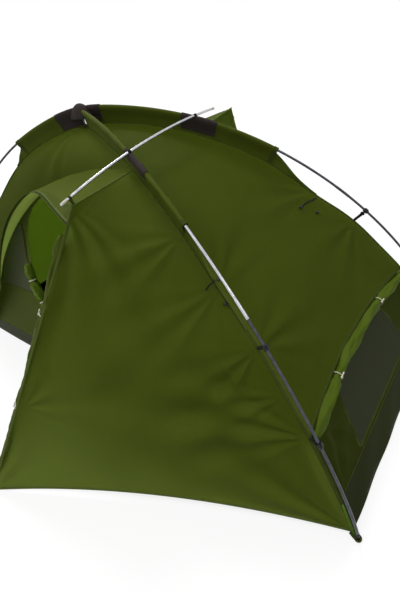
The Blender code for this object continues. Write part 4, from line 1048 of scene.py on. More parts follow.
def near_and_far_canopy():
    """The two roofs, the two vestibules and the closed far door."""
    grid = roof_grid(False)
    roof = settled(grid, [
        ("crease", APEX_NEAR, (0.12, -0.30, 0.985), 0.010, 0.0030),
        ("fan", APEX_NEAR, (-0.6, 0.3, 0.0), 0.7, 12, 0.14, 0.0035),
        ("fan", (-0.10, -0.02, 1.05), (-0.3, -0.5, -0.4), 0.9, 11, 0.14, 0.0035),
        ("fan", NEAR_LEFT_FOOT, (0.3, 0.1, 0.9), 0.5, 13, 0.16, 0.004),
    ], seed=3)
    edge = binding("near_arch_binding", grid[:, -1], grid[:, -2], ARCH_TAPE, 0.0034)
    sheet_piece("near_roof_cloth", roof, ROOF_CLOTH, ["near_roof"])

    grid = roof_grid(True)
    roof = settled(grid, [
        ("fan", APEX_FAR, (-0.6, -0.3, 0.0), 0.7, 12, 0.14, 0.0035),
        ("fan", (-0.10, 0.02, 1.05), (-0.3, 0.5, -0.4), 0.9, 11, 0.14, 0.0035),
    ], seed=5)
    edge = binding("far_arch_binding", grid[:, -1], grid[:, -2], ARCH_TAPE, 0.0030)
    sheet_piece("far_roof_cloth", roof, ROOF_CLOTH, ["far_roof"])

    grid = front_grid(False, 161, 171)
    front = settled(grid, [
        ("crease", APEX_NEAR, SLEEVE_FOOT, 0.008, 0.0055),
        ("crease", APEX_NEAR, (0.55, -0.42, 0.72), 0.011, 0.0065),
        ("crease", (0.40, -0.47, 0.86), (0.70, -0.52, 0.45), 0.009, 0.0060),
        ("crease", (0.36, -0.47, 0.88), (0.58, -0.56, 0.52), 0.010, 0.0050),
        ("crease", (0.50, -0.42, 0.80), (0.74, -0.45, 0.46), 0.008, 0.0055),
        ("crease", (0.60, -0.40, 0.72), (0.80, -0.44, 0.42), 0.008, 0.0050),
        ("fan", SLEEVE_FOOT, (-0.5, -0.6, -0.4), 0.60, 13, 0.20, 0.0070),
        ("fan", NEAR_HOOK, (-0.5, -0.5, -0.6), 0.50, 14, 0.22, 0.0065),
        ("fan", NEAR_CLIPS[0], (-0.5, -0.5, -0.7), 0.50, 14, 0.20, 0.0080),
        ("fan", leg_point("near_right", 0.67), (-0.7, -0.4, -0.3), 0.45, 14, 0.18, 0.0065),
        ("fan", NEAR_CLIPS[1], (-0.85, -0.35, 0.0), 0.50, 14, 0.20, 0.0080),
        ("fan", PEG, (0.3, 0.5, 0.8), 0.5, 13, 0.24, 0.0055),
        ("fan", APEX_NEAR, (0.0, -0.2, -0.9), 0.7, 13, 0.16, 0.0050),
        ("fan", LOW_TOGGLE, (0.9, 0.1, 0.35), 0.6, 11, 0.18, 0.0050),
        ("fan", NEAR_FOOT, (-0.8, -0.35, 0.45), 0.55, 13, 0.22, 0.0055),
    ], seed=7, height=0.0022, size=0.30, depth=0.022)
    edge = binding("near_vestibule_edge_binding", grid[:, -1], grid[:, -2], 0.009, 0.0032)
    hem = binding("near_vestibule_hem", grid[-1], grid[-2], HEM_TAPE, 0.0036)
    sheet_piece("near_vestibule_cloth", front, FRONT_CLOTH, ["near_vestibule"])

    grid = front_grid(True)
    front = settled(grid, [
        ("fan", FAR_SLEEVE_FOOT, (-0.5, 0.6, -0.4), 0.75, 15, 0.10, 0.0060),
        ("fan", APEX_FAR, (0.0, 0.3, -0.9), 0.7, 15, 0.12, 0.0055),
        ("fan", FAR_CLIPS[0], (-0.4, 0.5, -0.75), 0.5, 17, 0.10, 0.0065),
        ("fan", FAR_CLIPS[1], (-0.8, 0.35, 0.2), 0.5, 17, 0.09, 0.0065),
        ("fan", FAR_PEG, (0.3, -0.5, 0.8), 0.5, 15, 0.16, 0.0060),
    ], seed=8, height=0.0022, size=0.30, depth=0.030)
    hem = binding("far_vestibule_hem", grid[-1], grid[-2], HEM_TAPE, 0.0036)
    sheet_piece("far_vestibule_cloth", front, FRONT_CLOTH, ["far_vestibule"])

    grid = closed_door_grid()
    door = settled(grid, [
        ("fan", FAR_PEG, (-0.3, -0.5, 0.8), 0.6, 15, 0.16, 0.0060),
        ("fan", APEX_FAR, (-0.4, 0.3, -0.9), 0.6, 15, 0.12, 0.0055),
    ], seed=9, height=0.0022, size=0.30, depth=0.030)
    hem = binding("far_door_hem", grid[-1], grid[-2], HEM_TAPE, 0.0036)
    edge = binding("far_door_zip_binding", grid[:, -1], grid[:, -2], ARCH_TAPE, 0.0030)
    sheet_piece("far_door_cloth", door, FRONT_CLOTH, ["far_door"])


def end_canopy():
    """The panels over the two ends."""
    grid = end_grid("right", True)
    panel = settled(grid, [
        ("fan", NEAR_CLIPS[0], (-0.2, 0.8, -0.4), 0.6, 12, 0.09, 0.0045),
        ("fan", FAR_CLIPS[0], (-0.2, -0.8, -0.4), 0.6, 12, 0.09, 0.0045),
        ("fan", NEAR_HOOK, (-0.3, 0.8, 0.2), 0.6, 12, 0.10, 0.0040),
        ("fan", FAR_HOOK, (-0.3, -0.8, 0.2), 0.6, 12, 0.10, 0.0040),
        ("fan", NEAR_CLIPS[1], (0.2, 0.9, 0.1), 0.5, 12, 0.08, 0.0040),
    ], seed=11)
    hem = binding("right_end_hem", grid[-1], grid[-2], 0.010, 0.0028, OLIVE_TAPE)
    sheet_piece("right_end_cloth", panel, ROOF_CLOTH, ["right_end"])
    grid = end_grid("left", False)
    panel = settled(grid, [
        ("fan", leg_point("near_left", 0.3), (-0.4, 0.7, -0.3), 0.6, 12, 0.12, 0.0045),
        ("fan", leg_point("far_left", 0.3), (-0.4, -0.7, -0.3), 0.6, 12, 0.12, 0.0045),
        ("fan", leg_point("near_left", 0.75), (0.1, 0.9, -0.2), 0.6, 12, 0.12, 0.0045),
        ("fan", leg_point("far_left", 0.75), (0.1, -0.9, -0.2), 0.6, 12, 0.12, 0.0045),
    ], seed=12)
    hem = binding("left_end_hem", grid[-1], grid[-2], HEM_TAPE, 0.0034)
    sheet_piece("left_end_cloth", panel, ROOF_CLOTH, ["left_end"])


near_and_far_canopy()
end_canopy()


def seam_covers():
    """Felled seams along the four legs and from the ridge seat to each apex."""
    for leg in LEGS:
        s = np.linspace(ROOF_START, FRONT_FOOT - 0.003, 90)
        line = seam(leg, s)
        flat_tape(f"seam_{leg}", line, leg_outward(leg, s), 0.010, 0.0024, OLIVE_TAPE,
                  sewn=(-0.55, 0.55))
    for far, name in ((False, "near"), (True, "far")):
        _, apex, _, right, _ = side_points(far)
        seat = seam_point(right, RIDGE_PLACE)
        line = seat + (apex - seat) * np.linspace(0, 1, 24)[:, None]
        up = np.array([0.0, -0.25 if not far else 0.25, 1.0])
        flat_tape(f"seam_{name}_ridge", line, up, 0.008, 0.0026, PIPING,
                  sewn=(-0.5, 0.5))


seam_covers()


# Inner tent

def wall_mesh(name, side, openings, seed, marks=(), finish=None):
    """Inner wall cut out round its openings."""
    places = np.concatenate([np.linspace(0.05, 0.75, 100), np.linspace(0.756, TUB_PLACE, 30)])
    grid = drawn_in(wall_grid(side, np.linspace(0, 1, 141), places, LINER_DEPTH))
    grid = settled(grid, list(marks), seed, height=0.003, size=0.30)
    obj = shell_piece(name, grid, finish or LINER_CLOTH)
    for number, (outline, axis, start, stop) in enumerate(openings):
        guide = prism(f"{name}_guide_{number}", outline, axis, start, stop)
        mod = obj.modifiers.new("opening", "BOOLEAN")
        mod.operation = "DIFFERENCE"
        mod.solver = "EXACT"
        mod.object = guide
        mesh = bpy.data.meshes.new_from_object(obj.evaluated_get(bpy.context.evaluated_depsgraph_get()))
        obj.modifiers.clear()
        obj.data = mesh
        bpy.data.objects.remove(guide, do_unlink=True)
    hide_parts(f"{side}_wall")
    return obj


def prism(name, outline, axis, start, stop):
    """Guide body: an outline of (level, height) pairs drawn out along X or Y."""
    order = outline if axis == 1 else outline[::-1]
    verts = []
    for depth in (start, stop):
        for level, height in order:
            verts.append((level, depth, height) if axis == 1 else (depth, level, height))
    count = len(order)
    faces = [list(range(count)), list(range(2 * count - 1, count - 1, -1))]
    faces += [[(j + 1) % count, j, count + j, count + (j + 1) % count] for j in range(count)]
    mesh = bpy.data.meshes.new(name)
    mesh.from_pydata(verts, [], faces)
    return in_scene(name, mesh)


WALL_PLACES = np.linspace(0.05, TUB_PLACE, 120)


def opening_binding(name, side, outline, step, width, finish=None):
    """Binding round an opening of an inner wall, laid on the wall."""
    closed = np.array(list(outline) + [outline[0]], float)
    run = run_along(closed)
    at = np.linspace(0, run[-1], int(run[-1] / step))
    flat = between(at, run, closed)
    on_wall = lambda level, z: wall_point(side, level, z, WALL_PLACES)
    line = np.array([on_wall(x, z) for x, z in flat])
    over = np.array([on_wall(x + 0.01, z) for x, z in flat]) - line
    above = np.array([on_wall(x, z + 0.01) for x, z in flat]) - line
    normal = facing_out(line, unit(np.cross(over, above)))
    tangent = tangents(line)
    side_way = np.cross(tangent, normal)
    centre = line.mean(0)
    side_way *= np.sign((side_way * (line - centre)).sum(-1, keepdims=True))
    SEWN_LINES.append((line + side_way * width * 0.7 + normal * 0.0014, normal))
    return flat_tape(name, line + side_way * width * 0.35, normal, width, 0.0026, finish or PIPING)


DOOR_BINDING = opening_binding("inner_door_binding", "near", door_outline(), 0.022, 0.012)
MESH_BINDING = opening_binding("side_net_binding", "near", side_mesh_outline(), 0.020, 0.010, OLIVE_TAPE)
WINDOW_BINDING = opening_binding("end_net_binding", "right", window_outline(), 0.020, 0.010, OLIVE_TAPE)

NEAR_SPAN = (-0.60, -0.05)     # y between which the near wall's openings are cut out
RIGHT_SPAN = (0.6, 1.3)        # x for the right wall's
NEAR_OPENINGS = [(door_outline(), 1, *NEAR_SPAN), (side_mesh_outline(), 1, *NEAR_SPAN)]
wall_mesh("near_wall_cloth", "near", NEAR_OPENINGS, 21,
          finish=NEAR_LINER_CLOTH)
wall_mesh("far_wall_cloth", "far", [], 22)
wall_mesh("left_wall_cloth", "left", [], 23)
# The right wall takes the darker liner copy, painted shade
wall_mesh("right_wall_cloth", "right", [(window_outline(), 0, *RIGHT_SPAN)], 24, [
    ("fan", (1.07, -0.40, 0.05), (-0.1, 0.35, 0.9), 0.6, 13, 0.20, 0.0060),
    ("fan", (0.99, -0.36, 0.30), (0.2, 0.5, -0.8), 0.5, 12, 0.14, 0.0050)], END_LINER_PAINTED_SHADE_CLOTH)


def net_grid(side, outline, rows=41, cols=61):
    """Points of a window on the wall's own surface."""
    low, high = outline[0][1], outline[2][1]
    out = []
    for z in np.linspace(high, low, 9):
        part = (z - low) / (high - low)
        left = outline[0][0] + (outline[3][0] - outline[0][0]) * part
        right = outline[1][0] + (outline[2][0] - outline[1][0]) * part
        out.append([wall_point(side, level, z, WALL_PLACES) for level in np.linspace(left, right, 9)])
    coarse = np.array(out)
    knots = np.linspace(0, 1, 9)
    wide = np.stack([spline(knots, row, np.linspace(0, 1, cols)) for row in coarse])
    return np.stack([spline(knots, wide[:, k], np.linspace(0, 1, rows)) for k in range(cols)], 1)


# The side window takes the lighter net copy, painted light
sheet_piece("side_net_cloth", net_grid("near", side_mesh_outline()), SIDE_NET_PAINTED_LIGHT, ["side_net"],
            thickness=NET_THICK)
sheet_piece("end_net_cloth", net_grid("right", window_outline()), NET, ["end_net"],
            thickness=NET_THICK)


def tray():
    """Groundsheet as one sheet: a floor with slow waves, turned up along its four sides."""
    order = ("near_left", "near_right", "far_right", "far_left")
    corners = np.array([tub_corner(leg) for leg in order])
    steps = 33
    base, rim = corners[:, 0], corners[:, 1]
    across = np.linspace(0, 1, steps)

    def loop(points):
        following = np.roll(points, -1, axis=0)
        return np.vstack([points[j] + (following[j] - points[j]) * across[:-1, None] for j in range(4)])

    rows = [loop(base + (rim - base) * k) for k in (1.0, 0.8, 0.6, 0.4, 0.2, 0.05)]
    foot = loop(base + np.array([0, 0, 0.0012]))
    middle = foot.mean(0)
    rows += [middle + (foot - middle) * k for k in (0.995, 0.9, 0.75, 0.6, 0.45, 0.3, 0.15, 0.02)]
    rows = np.array(rows)
    for k in range(1, 6):
        wave = 0.0016 * np.sin(np.arange(rows.shape[1]) * 0.8 + k)
        rows[k] += unit(rows[k] - middle) * wave[:, None]
    rows[7:, :, 2] += 0.0012 * (1 + np.sin(rows[7:, :, 0] * 17 + 2 * np.sin(rows[7:, :, 1] * 11)))
    grid = np.concatenate([rows, rows[:, :1]], 1)
    rim_line = grid[0]
    up = np.tile([0.0, 0.0, 1.0], (len(rim_line), 1))
    side = np.cross(tangents(rim_line), up)
    edge = flat_tape("groundsheet_rim_seam", rim_line, facing_out(rim_line, side), 0.009, 0.0026, OLIVE_TAPE,
                     sewn=(0.5,))
    flat = grid[:, :, :2].copy()
    for k in range(6):
        away = np.linalg.norm(grid[k] - grid[6], axis=-1)
        flat[k] = grid[6, :, :2] + unit(grid[6, :, :2] - middle[:2]) * away[:, None]
    sheet_piece("groundsheet_cloth", grid, FLOOR_CLOTH, ["groundsheet"],
                uv=flat.reshape(-1, 2))


# Poles and sleeves

def pole_at(pole, t):
    """Axis of a main pole from one foot (-1) to the other (1), with the upper one raised."""
    t = np.asarray(t, float)
    points = spline(*CURVES[pole], t)
    if pole == "b":
        points[:, 2] += (2 * POLE_R + RUN) * np.exp(-(t / 0.10) ** 2)
    return points


FINE_T = np.linspace(-1, 1, 4001)
POLE_FINE = {pole: pole_at(pole, FINE_T) for pole in POLES}
POLE_RUN = {pole: run_along(p)
            for pole, p in POLE_FINE.items()}


def pole_frame(pole, t):
    """Axis points with their tangent, outward and sideways directions."""
    t = np.asarray(t, float)
    step = 0.002
    tangent = unit(pole_at(pole, np.clip(t + step, -1, 1)) - pole_at(pole, np.clip(t - step, -1, 1)))
    outward = unit(np.cross(tangent, pole_side(pole)))
    return pole_at(pole, t), tangent, outward, np.cross(tangent, outward)


def leg_place(leg, reach):
    """Place along a leg at a distance from the crossing."""
    pole, sign = BODY_LINE[leg]
    middle = np.interp(0.0, FINE_T, POLE_RUN[pole])
    return np.abs(np.interp(middle + sign * np.asarray(reach, float), POLE_RUN[pole], FINE_T))


def leg_reach(leg, place):
    """Distance from the crossing of a place along a leg."""
    pole, sign = BODY_LINE[leg]
    return abs(np.interp(sign * place, FINE_T, POLE_RUN[pole]) - np.interp(0.0, FINE_T, POLE_RUN[pole]))


def round_outline(sides):
    angle = 2 * np.pi * np.arange(sides) / sides
    return np.stack([np.cos(angle), np.sin(angle)], -1)


def tube_rings(points, outward, sideways, radii, sides):
    """Round rings of the given radii around a line."""
    outline = round_outline(sides)
    radii = np.broadcast_to(np.asarray(radii, float), (len(points),))[:, None, None]
    around = outline[None, :, :1] * outward[:, None] + outline[None, :, 1:] * sideways[:, None]
    return points[:, None] + radii * around


FERRULE = 0.062           # length of the widened end that takes the next section
FERRULE_RISE = 0.0005


def pole_pieces():
    """The ten tubes of the two main poles."""
    for pole in POLES:
        t_of = lambda d: np.interp(d, POLE_RUN[pole], FINE_T)
        standing = POLE_FINE[pole][:, 2] >= TIP_TOP
        low, high = POLE_RUN[pole][standing][0], POLE_RUN[pole][standing][-1]
        bounds = np.linspace(low, high, SECTIONS + 1)
        for k in range(SECTIONS):
            start = bounds[k] + (GAP if k else 0)
            distances = np.linspace(start, bounds[k + 1], 56)
            radii = np.full(len(distances), POLE_R)
            if k < SECTIONS - 1:
                ferrule = bounds[k + 1] - FERRULE
                distances = np.sort(np.concatenate([distances[distances < ferrule - 0.002],
                                                    [ferrule, ferrule + 0.0008],
                                                    np.linspace(ferrule + 0.006, bounds[k + 1] - 0.001, 8),
                                                    [bounds[k + 1]]]))
                radii = np.where(distances > ferrule + 0.0004, POLE_R + FERRULE_RISE, POLE_R)
                radii[-1] = POLE_R + 0.0001
            points, _, outward, sideways = pole_frame(pole, t_of(distances))
            name = f"pole_{pole}_section_{k + 1}"
            # Pole A's fourth section takes the lightened tube finish, a painted highlight where the lamps
            # catch it
            finish = PAINTED_HIGHLIGHT_ALLOY if name == "pole_a_section_4" else ALLOY
            loft(f"{name}_tube", tube_rings(points, outward, sideways, radii, 20), finish,
                 nodes=[name])


pole_pieces()


def foot_tip(leg):
    """Turned tip: a collar under the tube, a grooved body and a rounded pin in the eyelet."""
    pole, sign = BODY_LINE[leg]
    standing = POLE_FINE[pole][:, 2] >= TIP_TOP
    x, y, _ = POLE_FINE[pole][standing][-1 if sign > 0 else 0]
    steps = [(TIP_TOP - GAP, 0.0050), (TIP_TOP - 0.0012, TIP_R), (0.0255, TIP_R), (0.0250, 0.0050),
             (0.0235, 0.0050), (0.0230, TIP_R), (0.0150, TIP_R), (0.0105, 0.0046),
             (TAB_Z + TAB_THICK + 2 * GAP, 0.0045), (TAB_Z + TAB_THICK + GAP, PIN_R), (0.0016, PIN_R),
             (0.0007, 0.0022), (GAP, 0.0010)]
    outline = round_outline(24)
    rings = [np.column_stack([x + r * outline[:, 0], y - r * outline[:, 1], np.full(24, z)])
             for z, r in steps]
    loft(f"tip_{leg}", rings, TIP_ALLOY, nodes=[f"pole_tip_{leg}"])
    return np.array([x, y, 0.0])


FEET = {leg: foot_tip(leg) for leg in LEGS}

# Half of a sleeve's outline across its pole, from the seam over the web to the tube's top
TEAR = np.array([(-FIN, 0.0006), (-0.046, 0.0007), (-0.036, 0.0012), (-0.028, 0.0024), (-0.020, 0.0040),
                 (-0.012, 0.0058), (-0.006, 0.0070), (0.0, 0.0076), (0.004, 0.0070), (0.0068, 0.0048),
                 (0.0080, 0.0024)])
WEB_KNEE = -0.012         # where the sleeve's tube passes into its web
WEB_SHORT = 0.0008        # by which the web ends before the seam
TUBE_TOP = 0.0084         # outermost point of the tube
STITCH_SIDE, STITCH_DEPTH = 0.0078, 0.0095


def sleeve_stations(leg, places):
    """Axis, directions and seam depth along a leg's sleeve."""
    pole, sign = BODY_LINE[leg]
    points, _, outward, sideways = pole_frame(pole, sign * places)
    depth = ((points - seam(leg, places)) * outward).sum(-1)
    return points, outward, sideways, depth


def stretched_web(outline, depth):
    """An outline whose web reaches from the tube to the seam at each station."""
    x = np.broadcast_to(outline[:, 0], (len(depth), len(outline))).copy()
    part = (depth[:, None] - WEB_SHORT + WEB_KNEE) / (FIN + WEB_KNEE)
    x = np.where(x < WEB_KNEE, WEB_KNEE + (x - WEB_KNEE) * part, x)
    return x, np.broadcast_to(outline[:, 1], x.shape).copy()


def placed(points, outward, sideways, x, y):
    return points[:, None] + x[..., None] * outward[:, None] + y[..., None] * sideways[:, None]


def puckers(run):
    """Slow gathers of a sleeve round its pole."""
    return 1 + 0.09 * np.sin(run / 0.018 + 0.8 * np.sin(run / 0.05)) + 0.05 * np.sin(run / 0.0071)


def sleeve_pieces():
    """The four pole sleeves with their cuffs."""
    outer = np.vstack([TEAR, [[TUBE_TOP, 0.0]], TEAR[::-1] * [1, -1]])
    inner = outer.copy()
    inner[:, 0] = np.clip(inner[:, 0] - 0.0006, -0.030, None)
    inner[:, 1] = np.sign(inner[:, 1]) * np.clip(np.abs(inner[:, 1]) - 0.0005, 0.0001, None)
    for leg in LEGS:
        pole = BODY_LINE[leg][0]
        end = SLEEVE_END_RIGHT if LEGS[leg][0] > 0 else SLEEVE_END_LEFT
        first = leg_place(leg, 0.012 if pole == "a" else 0.030)
        s = np.linspace(first, end, 130 if end > 0.3 else 80)
        points, outward, sideways, depth = sleeve_stations(leg, s)
        run = run_along(points)
        slack = puckers(run)[:, None]
        x, y = stretched_web(outer, depth)
        rings = placed(points, outward, sideways, x, y * slack)
        x, y = stretched_web(inner, depth)
        bore = placed(points, outward, sideways, x, y * slack)
        cuff = wrap(f"sleeve_{leg}_cuff", leg, end - 0.0075, end + 0.0006, 0.052, 0.0008, OLIVE_TAPE)
        obj = loft(f"sleeve_{leg}_cloth", rings, SLEEVE_CLOTH, bore=bore,
                   nodes=[f"sleeve_{leg}"], smooth=60)
        SEWN_LINES.append((points + sideways * STITCH_SIDE * slack + outward * -STITCH_DEPTH, sideways))
        SEWN_LINES.append((points - sideways * STITCH_SIDE * slack + outward * -STITCH_DEPTH, -sideways))


def wrap(name, leg, start, stop, reach, lift, finish, sheet=False):
    """Cloth folded over a sleeve from one place to another, down to a reach from its axis."""
    s = np.linspace(start, stop, max(3, int((stop - start) / 0.003)))
    points, outward, sideways, depth = sleeve_stations(leg, s)
    half = TEAR[TEAR[:, 0] > -reach - 1e-6]
    half = np.vstack([[[-reach, np.interp(-reach, TEAR[:, 0], TEAR[:, 1])]], half])
    half = half + np.stack([np.where(half[:, 0] > 0.004, lift, 0), np.full(len(half), lift)], -1)
    outline = np.vstack([half, [[TUBE_TOP + lift, 0.0]], half[::-1] * [1, -1]])
    x, y = stretched_web(outline, np.maximum(depth, FIN - 0.004))
    run = leg_reach(leg, s) - leg_reach(leg, s[0])
    swell = 1 + 0.10 * np.sin(np.asarray(run) / 0.014 + 1)[:, None]
    grid = placed(points, outward, sideways, x, y * swell)
    if sheet:
        return sheet_piece(name, grid, finish, [], thickness=PATCH_THICK)
    obj = shell_piece(name, grid, finish, PATCH_THICK)
    return obj


def scuff_guards():
    """Coated patches where poles rub: beside the crossing and under the ridge pole."""
    seat = {leg: leg_reach(leg, RIDGE_PLACE) for leg in ("near_right", "far_right")}
    for name, leg, start, stop, reach in (
            ("crossing_guard_left", "near_left", 0.012, 0.122, 0.054),
            ("crossing_guard_right", "far_right", 0.030, 0.085, 0.048),
            ("ridge_guard_far", "far_right", seat["far_right"] - 0.055, seat["far_right"] + 0.085, 0.048),
            ("ridge_guard_near", "near_right", seat["near_right"] - 0.028, seat["near_right"] + 0.105,
             0.026)):
        wrap(name, leg, float(leg_place(leg, start)), float(leg_place(leg, stop)), reach, 0.0016, SCUFF,
             sheet=True)


CAP_RISE = 0.030          # of the cap's middle over the poles' crossing
CAP_DROP = 0.048          # from its middle to its rim
CAP_HALF_X, CAP_HALF_Y = 0.053, 0.044
PAD_HALF = 0.046


def crossing_cap():
    """Padded cap of coated cloth over the place where the poles cross."""
    steps = np.linspace(-1, 1, 25)
    a, b = np.meshgrid(steps, steps, indexing="ij")
    x, y = a * np.sqrt(1 - b * b / 2), b * np.sqrt(1 - a * a / 2)
    r = np.clip(np.hypot(x, y), 0, 1)
    angle = np.arctan2(y, x)
    top = PEAK + CAP_RISE
    z = top - CAP_DROP * r ** 2.1 + 0.0022 * r * np.cos(4 * angle + 0.6) + 0.0012 * np.sin(9 * angle) * r ** 2
    grid = np.stack([CROSS_X + CAP_HALF_X * x, CAP_HALF_Y * y, z], -1)
    sheet_piece("crossing_cap_cloth", grid, SCUFF, ["crossing_patch"], thickness=CAP_THICK)
    pad = np.stack([CROSS_X + PAD_HALF * x, PAD_HALF * y, PEAK - FIN + 0.0040 - 0.012 * r ** 2], -1)
    sheet_piece("crossing_pad_cloth", pad, SLEEVE_CLOTH, [], thickness=CAP_THICK)
    rim = np.vstack([grid[0, :-1], grid[:-1, -1], grid[-1, :0:-1], grid[::-1, 0][:-1], grid[:1, 0]])
    flat_tape("crossing_cap_seam", rim, unit(rim - np.array([CROSS_X, 0, PEAK - 0.05])), 0.006, 0.0022,
              WEBBING, sewn=(0.0,))


def gussets():
    """Narrow folds of the canopy that run on from each sleeve's end to the first clip."""
    for leg in LEGS:
        start = SLEEVE_END_RIGHT if LEGS[leg][0] > 0 else SLEEVE_END_LEFT
        stop = {"near_right": 0.56, "far_right": 0.50}.get(leg, SLEEVE_END_LEFT + 0.05)
        s = np.linspace(start - 0.0020, stop, 60)
        base = seam(leg, s)
        outward = leg_outward(leg, s)
        side = np.broadcast_to(pole_side(BODY_LINE[leg][0]), base.shape)
        part = (s - s[0]) / (s[-1] - s[0])
        height = 0.045 * (1 - part) ** 1.8 + 0.003
        sway = 0.006 * (1 - part) * np.sin(part * 9)
        rows = [base + outward * (height * k)[:, None] + side * (k * sway)[:, None]
                for k in np.linspace(0, 1, 7)]
        grid = np.stack(rows, 1)
        edge = flat_tape(f"gusset_{leg}_edge", grid[:, -1], side, 0.0055, 0.0022, PIPING)
        obj = shell_piece(f"gusset_{leg}", grid, SLEEVE_CLOTH, PATCH_THICK)


sleeve_pieces()
scuff_guards()
crossing_cap()
gussets()
tray()


# Ridge pole

def ridge_rings(ys, radii, sides):
    """Rings round the ridge pole's axis at some y."""
    points = np.stack([np.full_like(ys, RIDGE_X), ys, ridge_height(ys)], -1)
    outward = unit(np.stack([np.zeros_like(ys), ys, points[:, 2] - ridge_height(0.0) + RIDGE_BEND_R], -1))
    return tube_rings(points, outward, np.broadcast_to([-1.0, 0, 0], points.shape), radii, sides)


def ridge_pole_piece():
    """Ridge pole in the lightened tube finish, a painted highlight, with a cream cap on each end."""
    ys = np.linspace(-RIDGE_NEAR, RIDGE_FAR, 70)
    ys = np.sort(np.concatenate([ys, [-RIDGE_NEAR + 0.002, -RIDGE_NEAR + 0.006, RIDGE_FAR - 0.002]]))
    radii = np.full(len(ys), POLE_R)
    radii[[0, -1]] = POLE_R * 0.6
    loft("ridge_pole_tube", ridge_rings(ys, radii, 24), PAINTED_HIGHLIGHT_ALLOY, body="ridge_pole",
         nodes=["ridge_pole"])
    for name, first, last in (("near", -RIDGE_NEAR - 0.0004, -RIDGE_NEAR + 0.020),
                              ("far", RIDGE_FAR - 0.020, RIDGE_FAR + 0.0004)):
        radii = np.full(8, POLE_R + 0.0003)
        end = slice(0, 2) if name == "near" else slice(-1, -3, -1)
        radii[end] = POLE_R * 0.55, POLE_R * 0.9
        loft(f"ridge_tip_{name}", ridge_rings(np.linspace(first, last, 8), radii, 20), CREAM,
             body="ridge_pole")


ridge_pole_piece()


APEX_TAPE_WIDTH = 0.008


def apex_tape():
    """Tape loop that hangs the near apex from the ridge pole."""
    y = APEX_NEAR[1] + 0.004
    centre = np.array([RIDGE_X, y, float(ridge_height(y))])
    n = unit((0.0, y, centre[2] - float(ridge_height(0.0)) + RIDGE_BEND_R))
    b = np.array([1.0, 0.0, 0.0])
    t = np.cross(b, n)
    low = centre[2] - APEX_NEAR[2]
    inner = POLE_R + RUN
    angles = np.radians(np.linspace(-62, 242, 40))
    ring = [centre + b * inner * math.cos(a) + n * inner * math.sin(a) for a in angles]
    path = [centre - n * (low - 0.001) + b * 0.0008, centre - n * low * 0.6 + b * 0.0010, *ring,
            centre - n * low * 0.6 - b * 0.0010, centre - n * (low - 0.001) - b * 0.0008]
    path = dense(path, 0.0015)
    tangent = tangents(path)
    normal = unit(np.cross(tangent, t))
    normal *= np.sign((normal * (path - centre)).sum(-1, keepdims=True) + 1e-9)
    obj = flat_tape("apex_tie_tape", path, normal, APEX_TAPE_WIDTH, 0.0010, OLIVE_TAPE,
                    lift=0.0006)
    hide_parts("apex_tie")


apex_tape()


# Clips

HOOK_SLOT = 5             # degrees to each side of the hook's opening
HOOK_WALL = 0.0032
HOOK_HALF = 0.0085        # half its length along the pole


def clip_piece(leg, number, place):
    """Moulded hook that snaps over the pole from inside, on a webbing tail sewn to the seam."""
    pole, sign = BODY_LINE[leg]
    points, tangents, outwards, sides = pole_frame(pole, np.array([sign * place]))
    c, t, n, b = points[0], tangents[0], outwards[0], sides[0]
    body = f"pole_clip_{leg}_{number}"
    rings = []
    for degrees in np.linspace(HOOK_SLOT, 360 - HOOK_SLOT, 41):
        a = math.radians(degrees)
        lip = max(0.0, (abs(degrees - 180) - 145) / 30)
        mid = POLE_R + RUN + 0.0017 + 0.0012 * lip
        thick = HOOK_WALL - 0.0008 * lip
        half = HOOK_HALF - 0.0020 * lip
        out = math.cos(a) * n + math.sin(a) * b
        centre = c + out * mid
        outline = symmetric((half, 0), (half - 0.0005, thick * 0.38), (half - 0.0014, thick / 2))
        rings.append([centre + t * p + out * q for p, q in outline])
    hook = loft(f"clip_{leg}_{number}_hook", rings, BLACK_PLASTIC, body=body, smooth=50)
    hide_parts(body)
    lug = []
    for out_by, r in ((0.0060, 0.0046), (0.0070, 0.0056), (0.0090, 0.0058), (0.0108, 0.0050),
                      (0.0118, 0.0030)):
        angles = 2 * np.pi * np.arange(12) / 12
        centre = c - b * out_by - n * 0.0015
        lug.append([centre + t * r * 1.3 * math.cos(w) + n * r * 0.8 * math.sin(w) for w in angles])
    loft(f"clip_{leg}_{number}_lug", lug, BLACK_PLASTIC, body=body, smooth=50)
    neck = []
    for depth, half, thick in ((0.0058, 0.0042, 0.0030), (0.0100, 0.0040, 0.0030), (0.0125, 0.0074, 0.0034),
                               (0.0135, 0.0088, 0.0038), (0.0185, 0.0088, 0.0038), (0.0195, 0.0080, 0.0030)):
        outline = symmetric((half, 0), (half - 0.0006, thick / 2))
        neck.append([c - n * depth + t * p + b * q for p, q in outline])
    loft(f"clip_{leg}_{number}_neck", neck, BLACK_PLASTIC, body=body, smooth=40)
    depth = float(seam_depth(leg, np.array([place]))[0])
    start, stop = c - n * (depth - 0.0006), c - n * 0.0120
    line = dense([start, stop], 0.0018)
    part = np.linspace(0, 1, len(line))
    gap = 0.0009 + 0.0021 * np.clip((part - 0.35) / 0.5, 0, 1)
    half = STRAP_WIDTH / 2
    rings = [[p + t * x + b * y for x, y in symmetric((half, 0), (half - 0.0005, g))]
             for p, g in zip(line, gap)]
    strap = loft(f"clip_{leg}_{number}_strap", rings, WEBBING, body=None, smooth=40)
    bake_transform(strap)


for leg_name in LEGS:
    for order, spot in enumerate(CLIP_PLACES):
        clip_piece(leg_name, order + 1, spot)


# Rolled flap and door

FLAP_TIES = (0.27, 0.73)
DOOR_TIES = (0.325, 0.655)
TOGGLES = (("end_toggle_near", "flap", FLAP_TIES[0]), ("end_toggle_far", "flap", FLAP_TIES[1]),
           ("door_toggle_upper", "door", DOOR_TIES[0]), ("door_toggle_lower", "door", DOOR_TIES[1]))


def unevenness(angle, place, length):
    """Share by which a roll's radius varies round and along it."""
    run = place * length
    return (0.065 * np.sin(2 * angle + run * 23) + 0.045 * np.sin(3 * angle - run * 37 + 1)
            + 0.028 * np.sin(5 * angle + run * 61 + 2) + 0.016 * np.sin(8 * angle - run * 90))


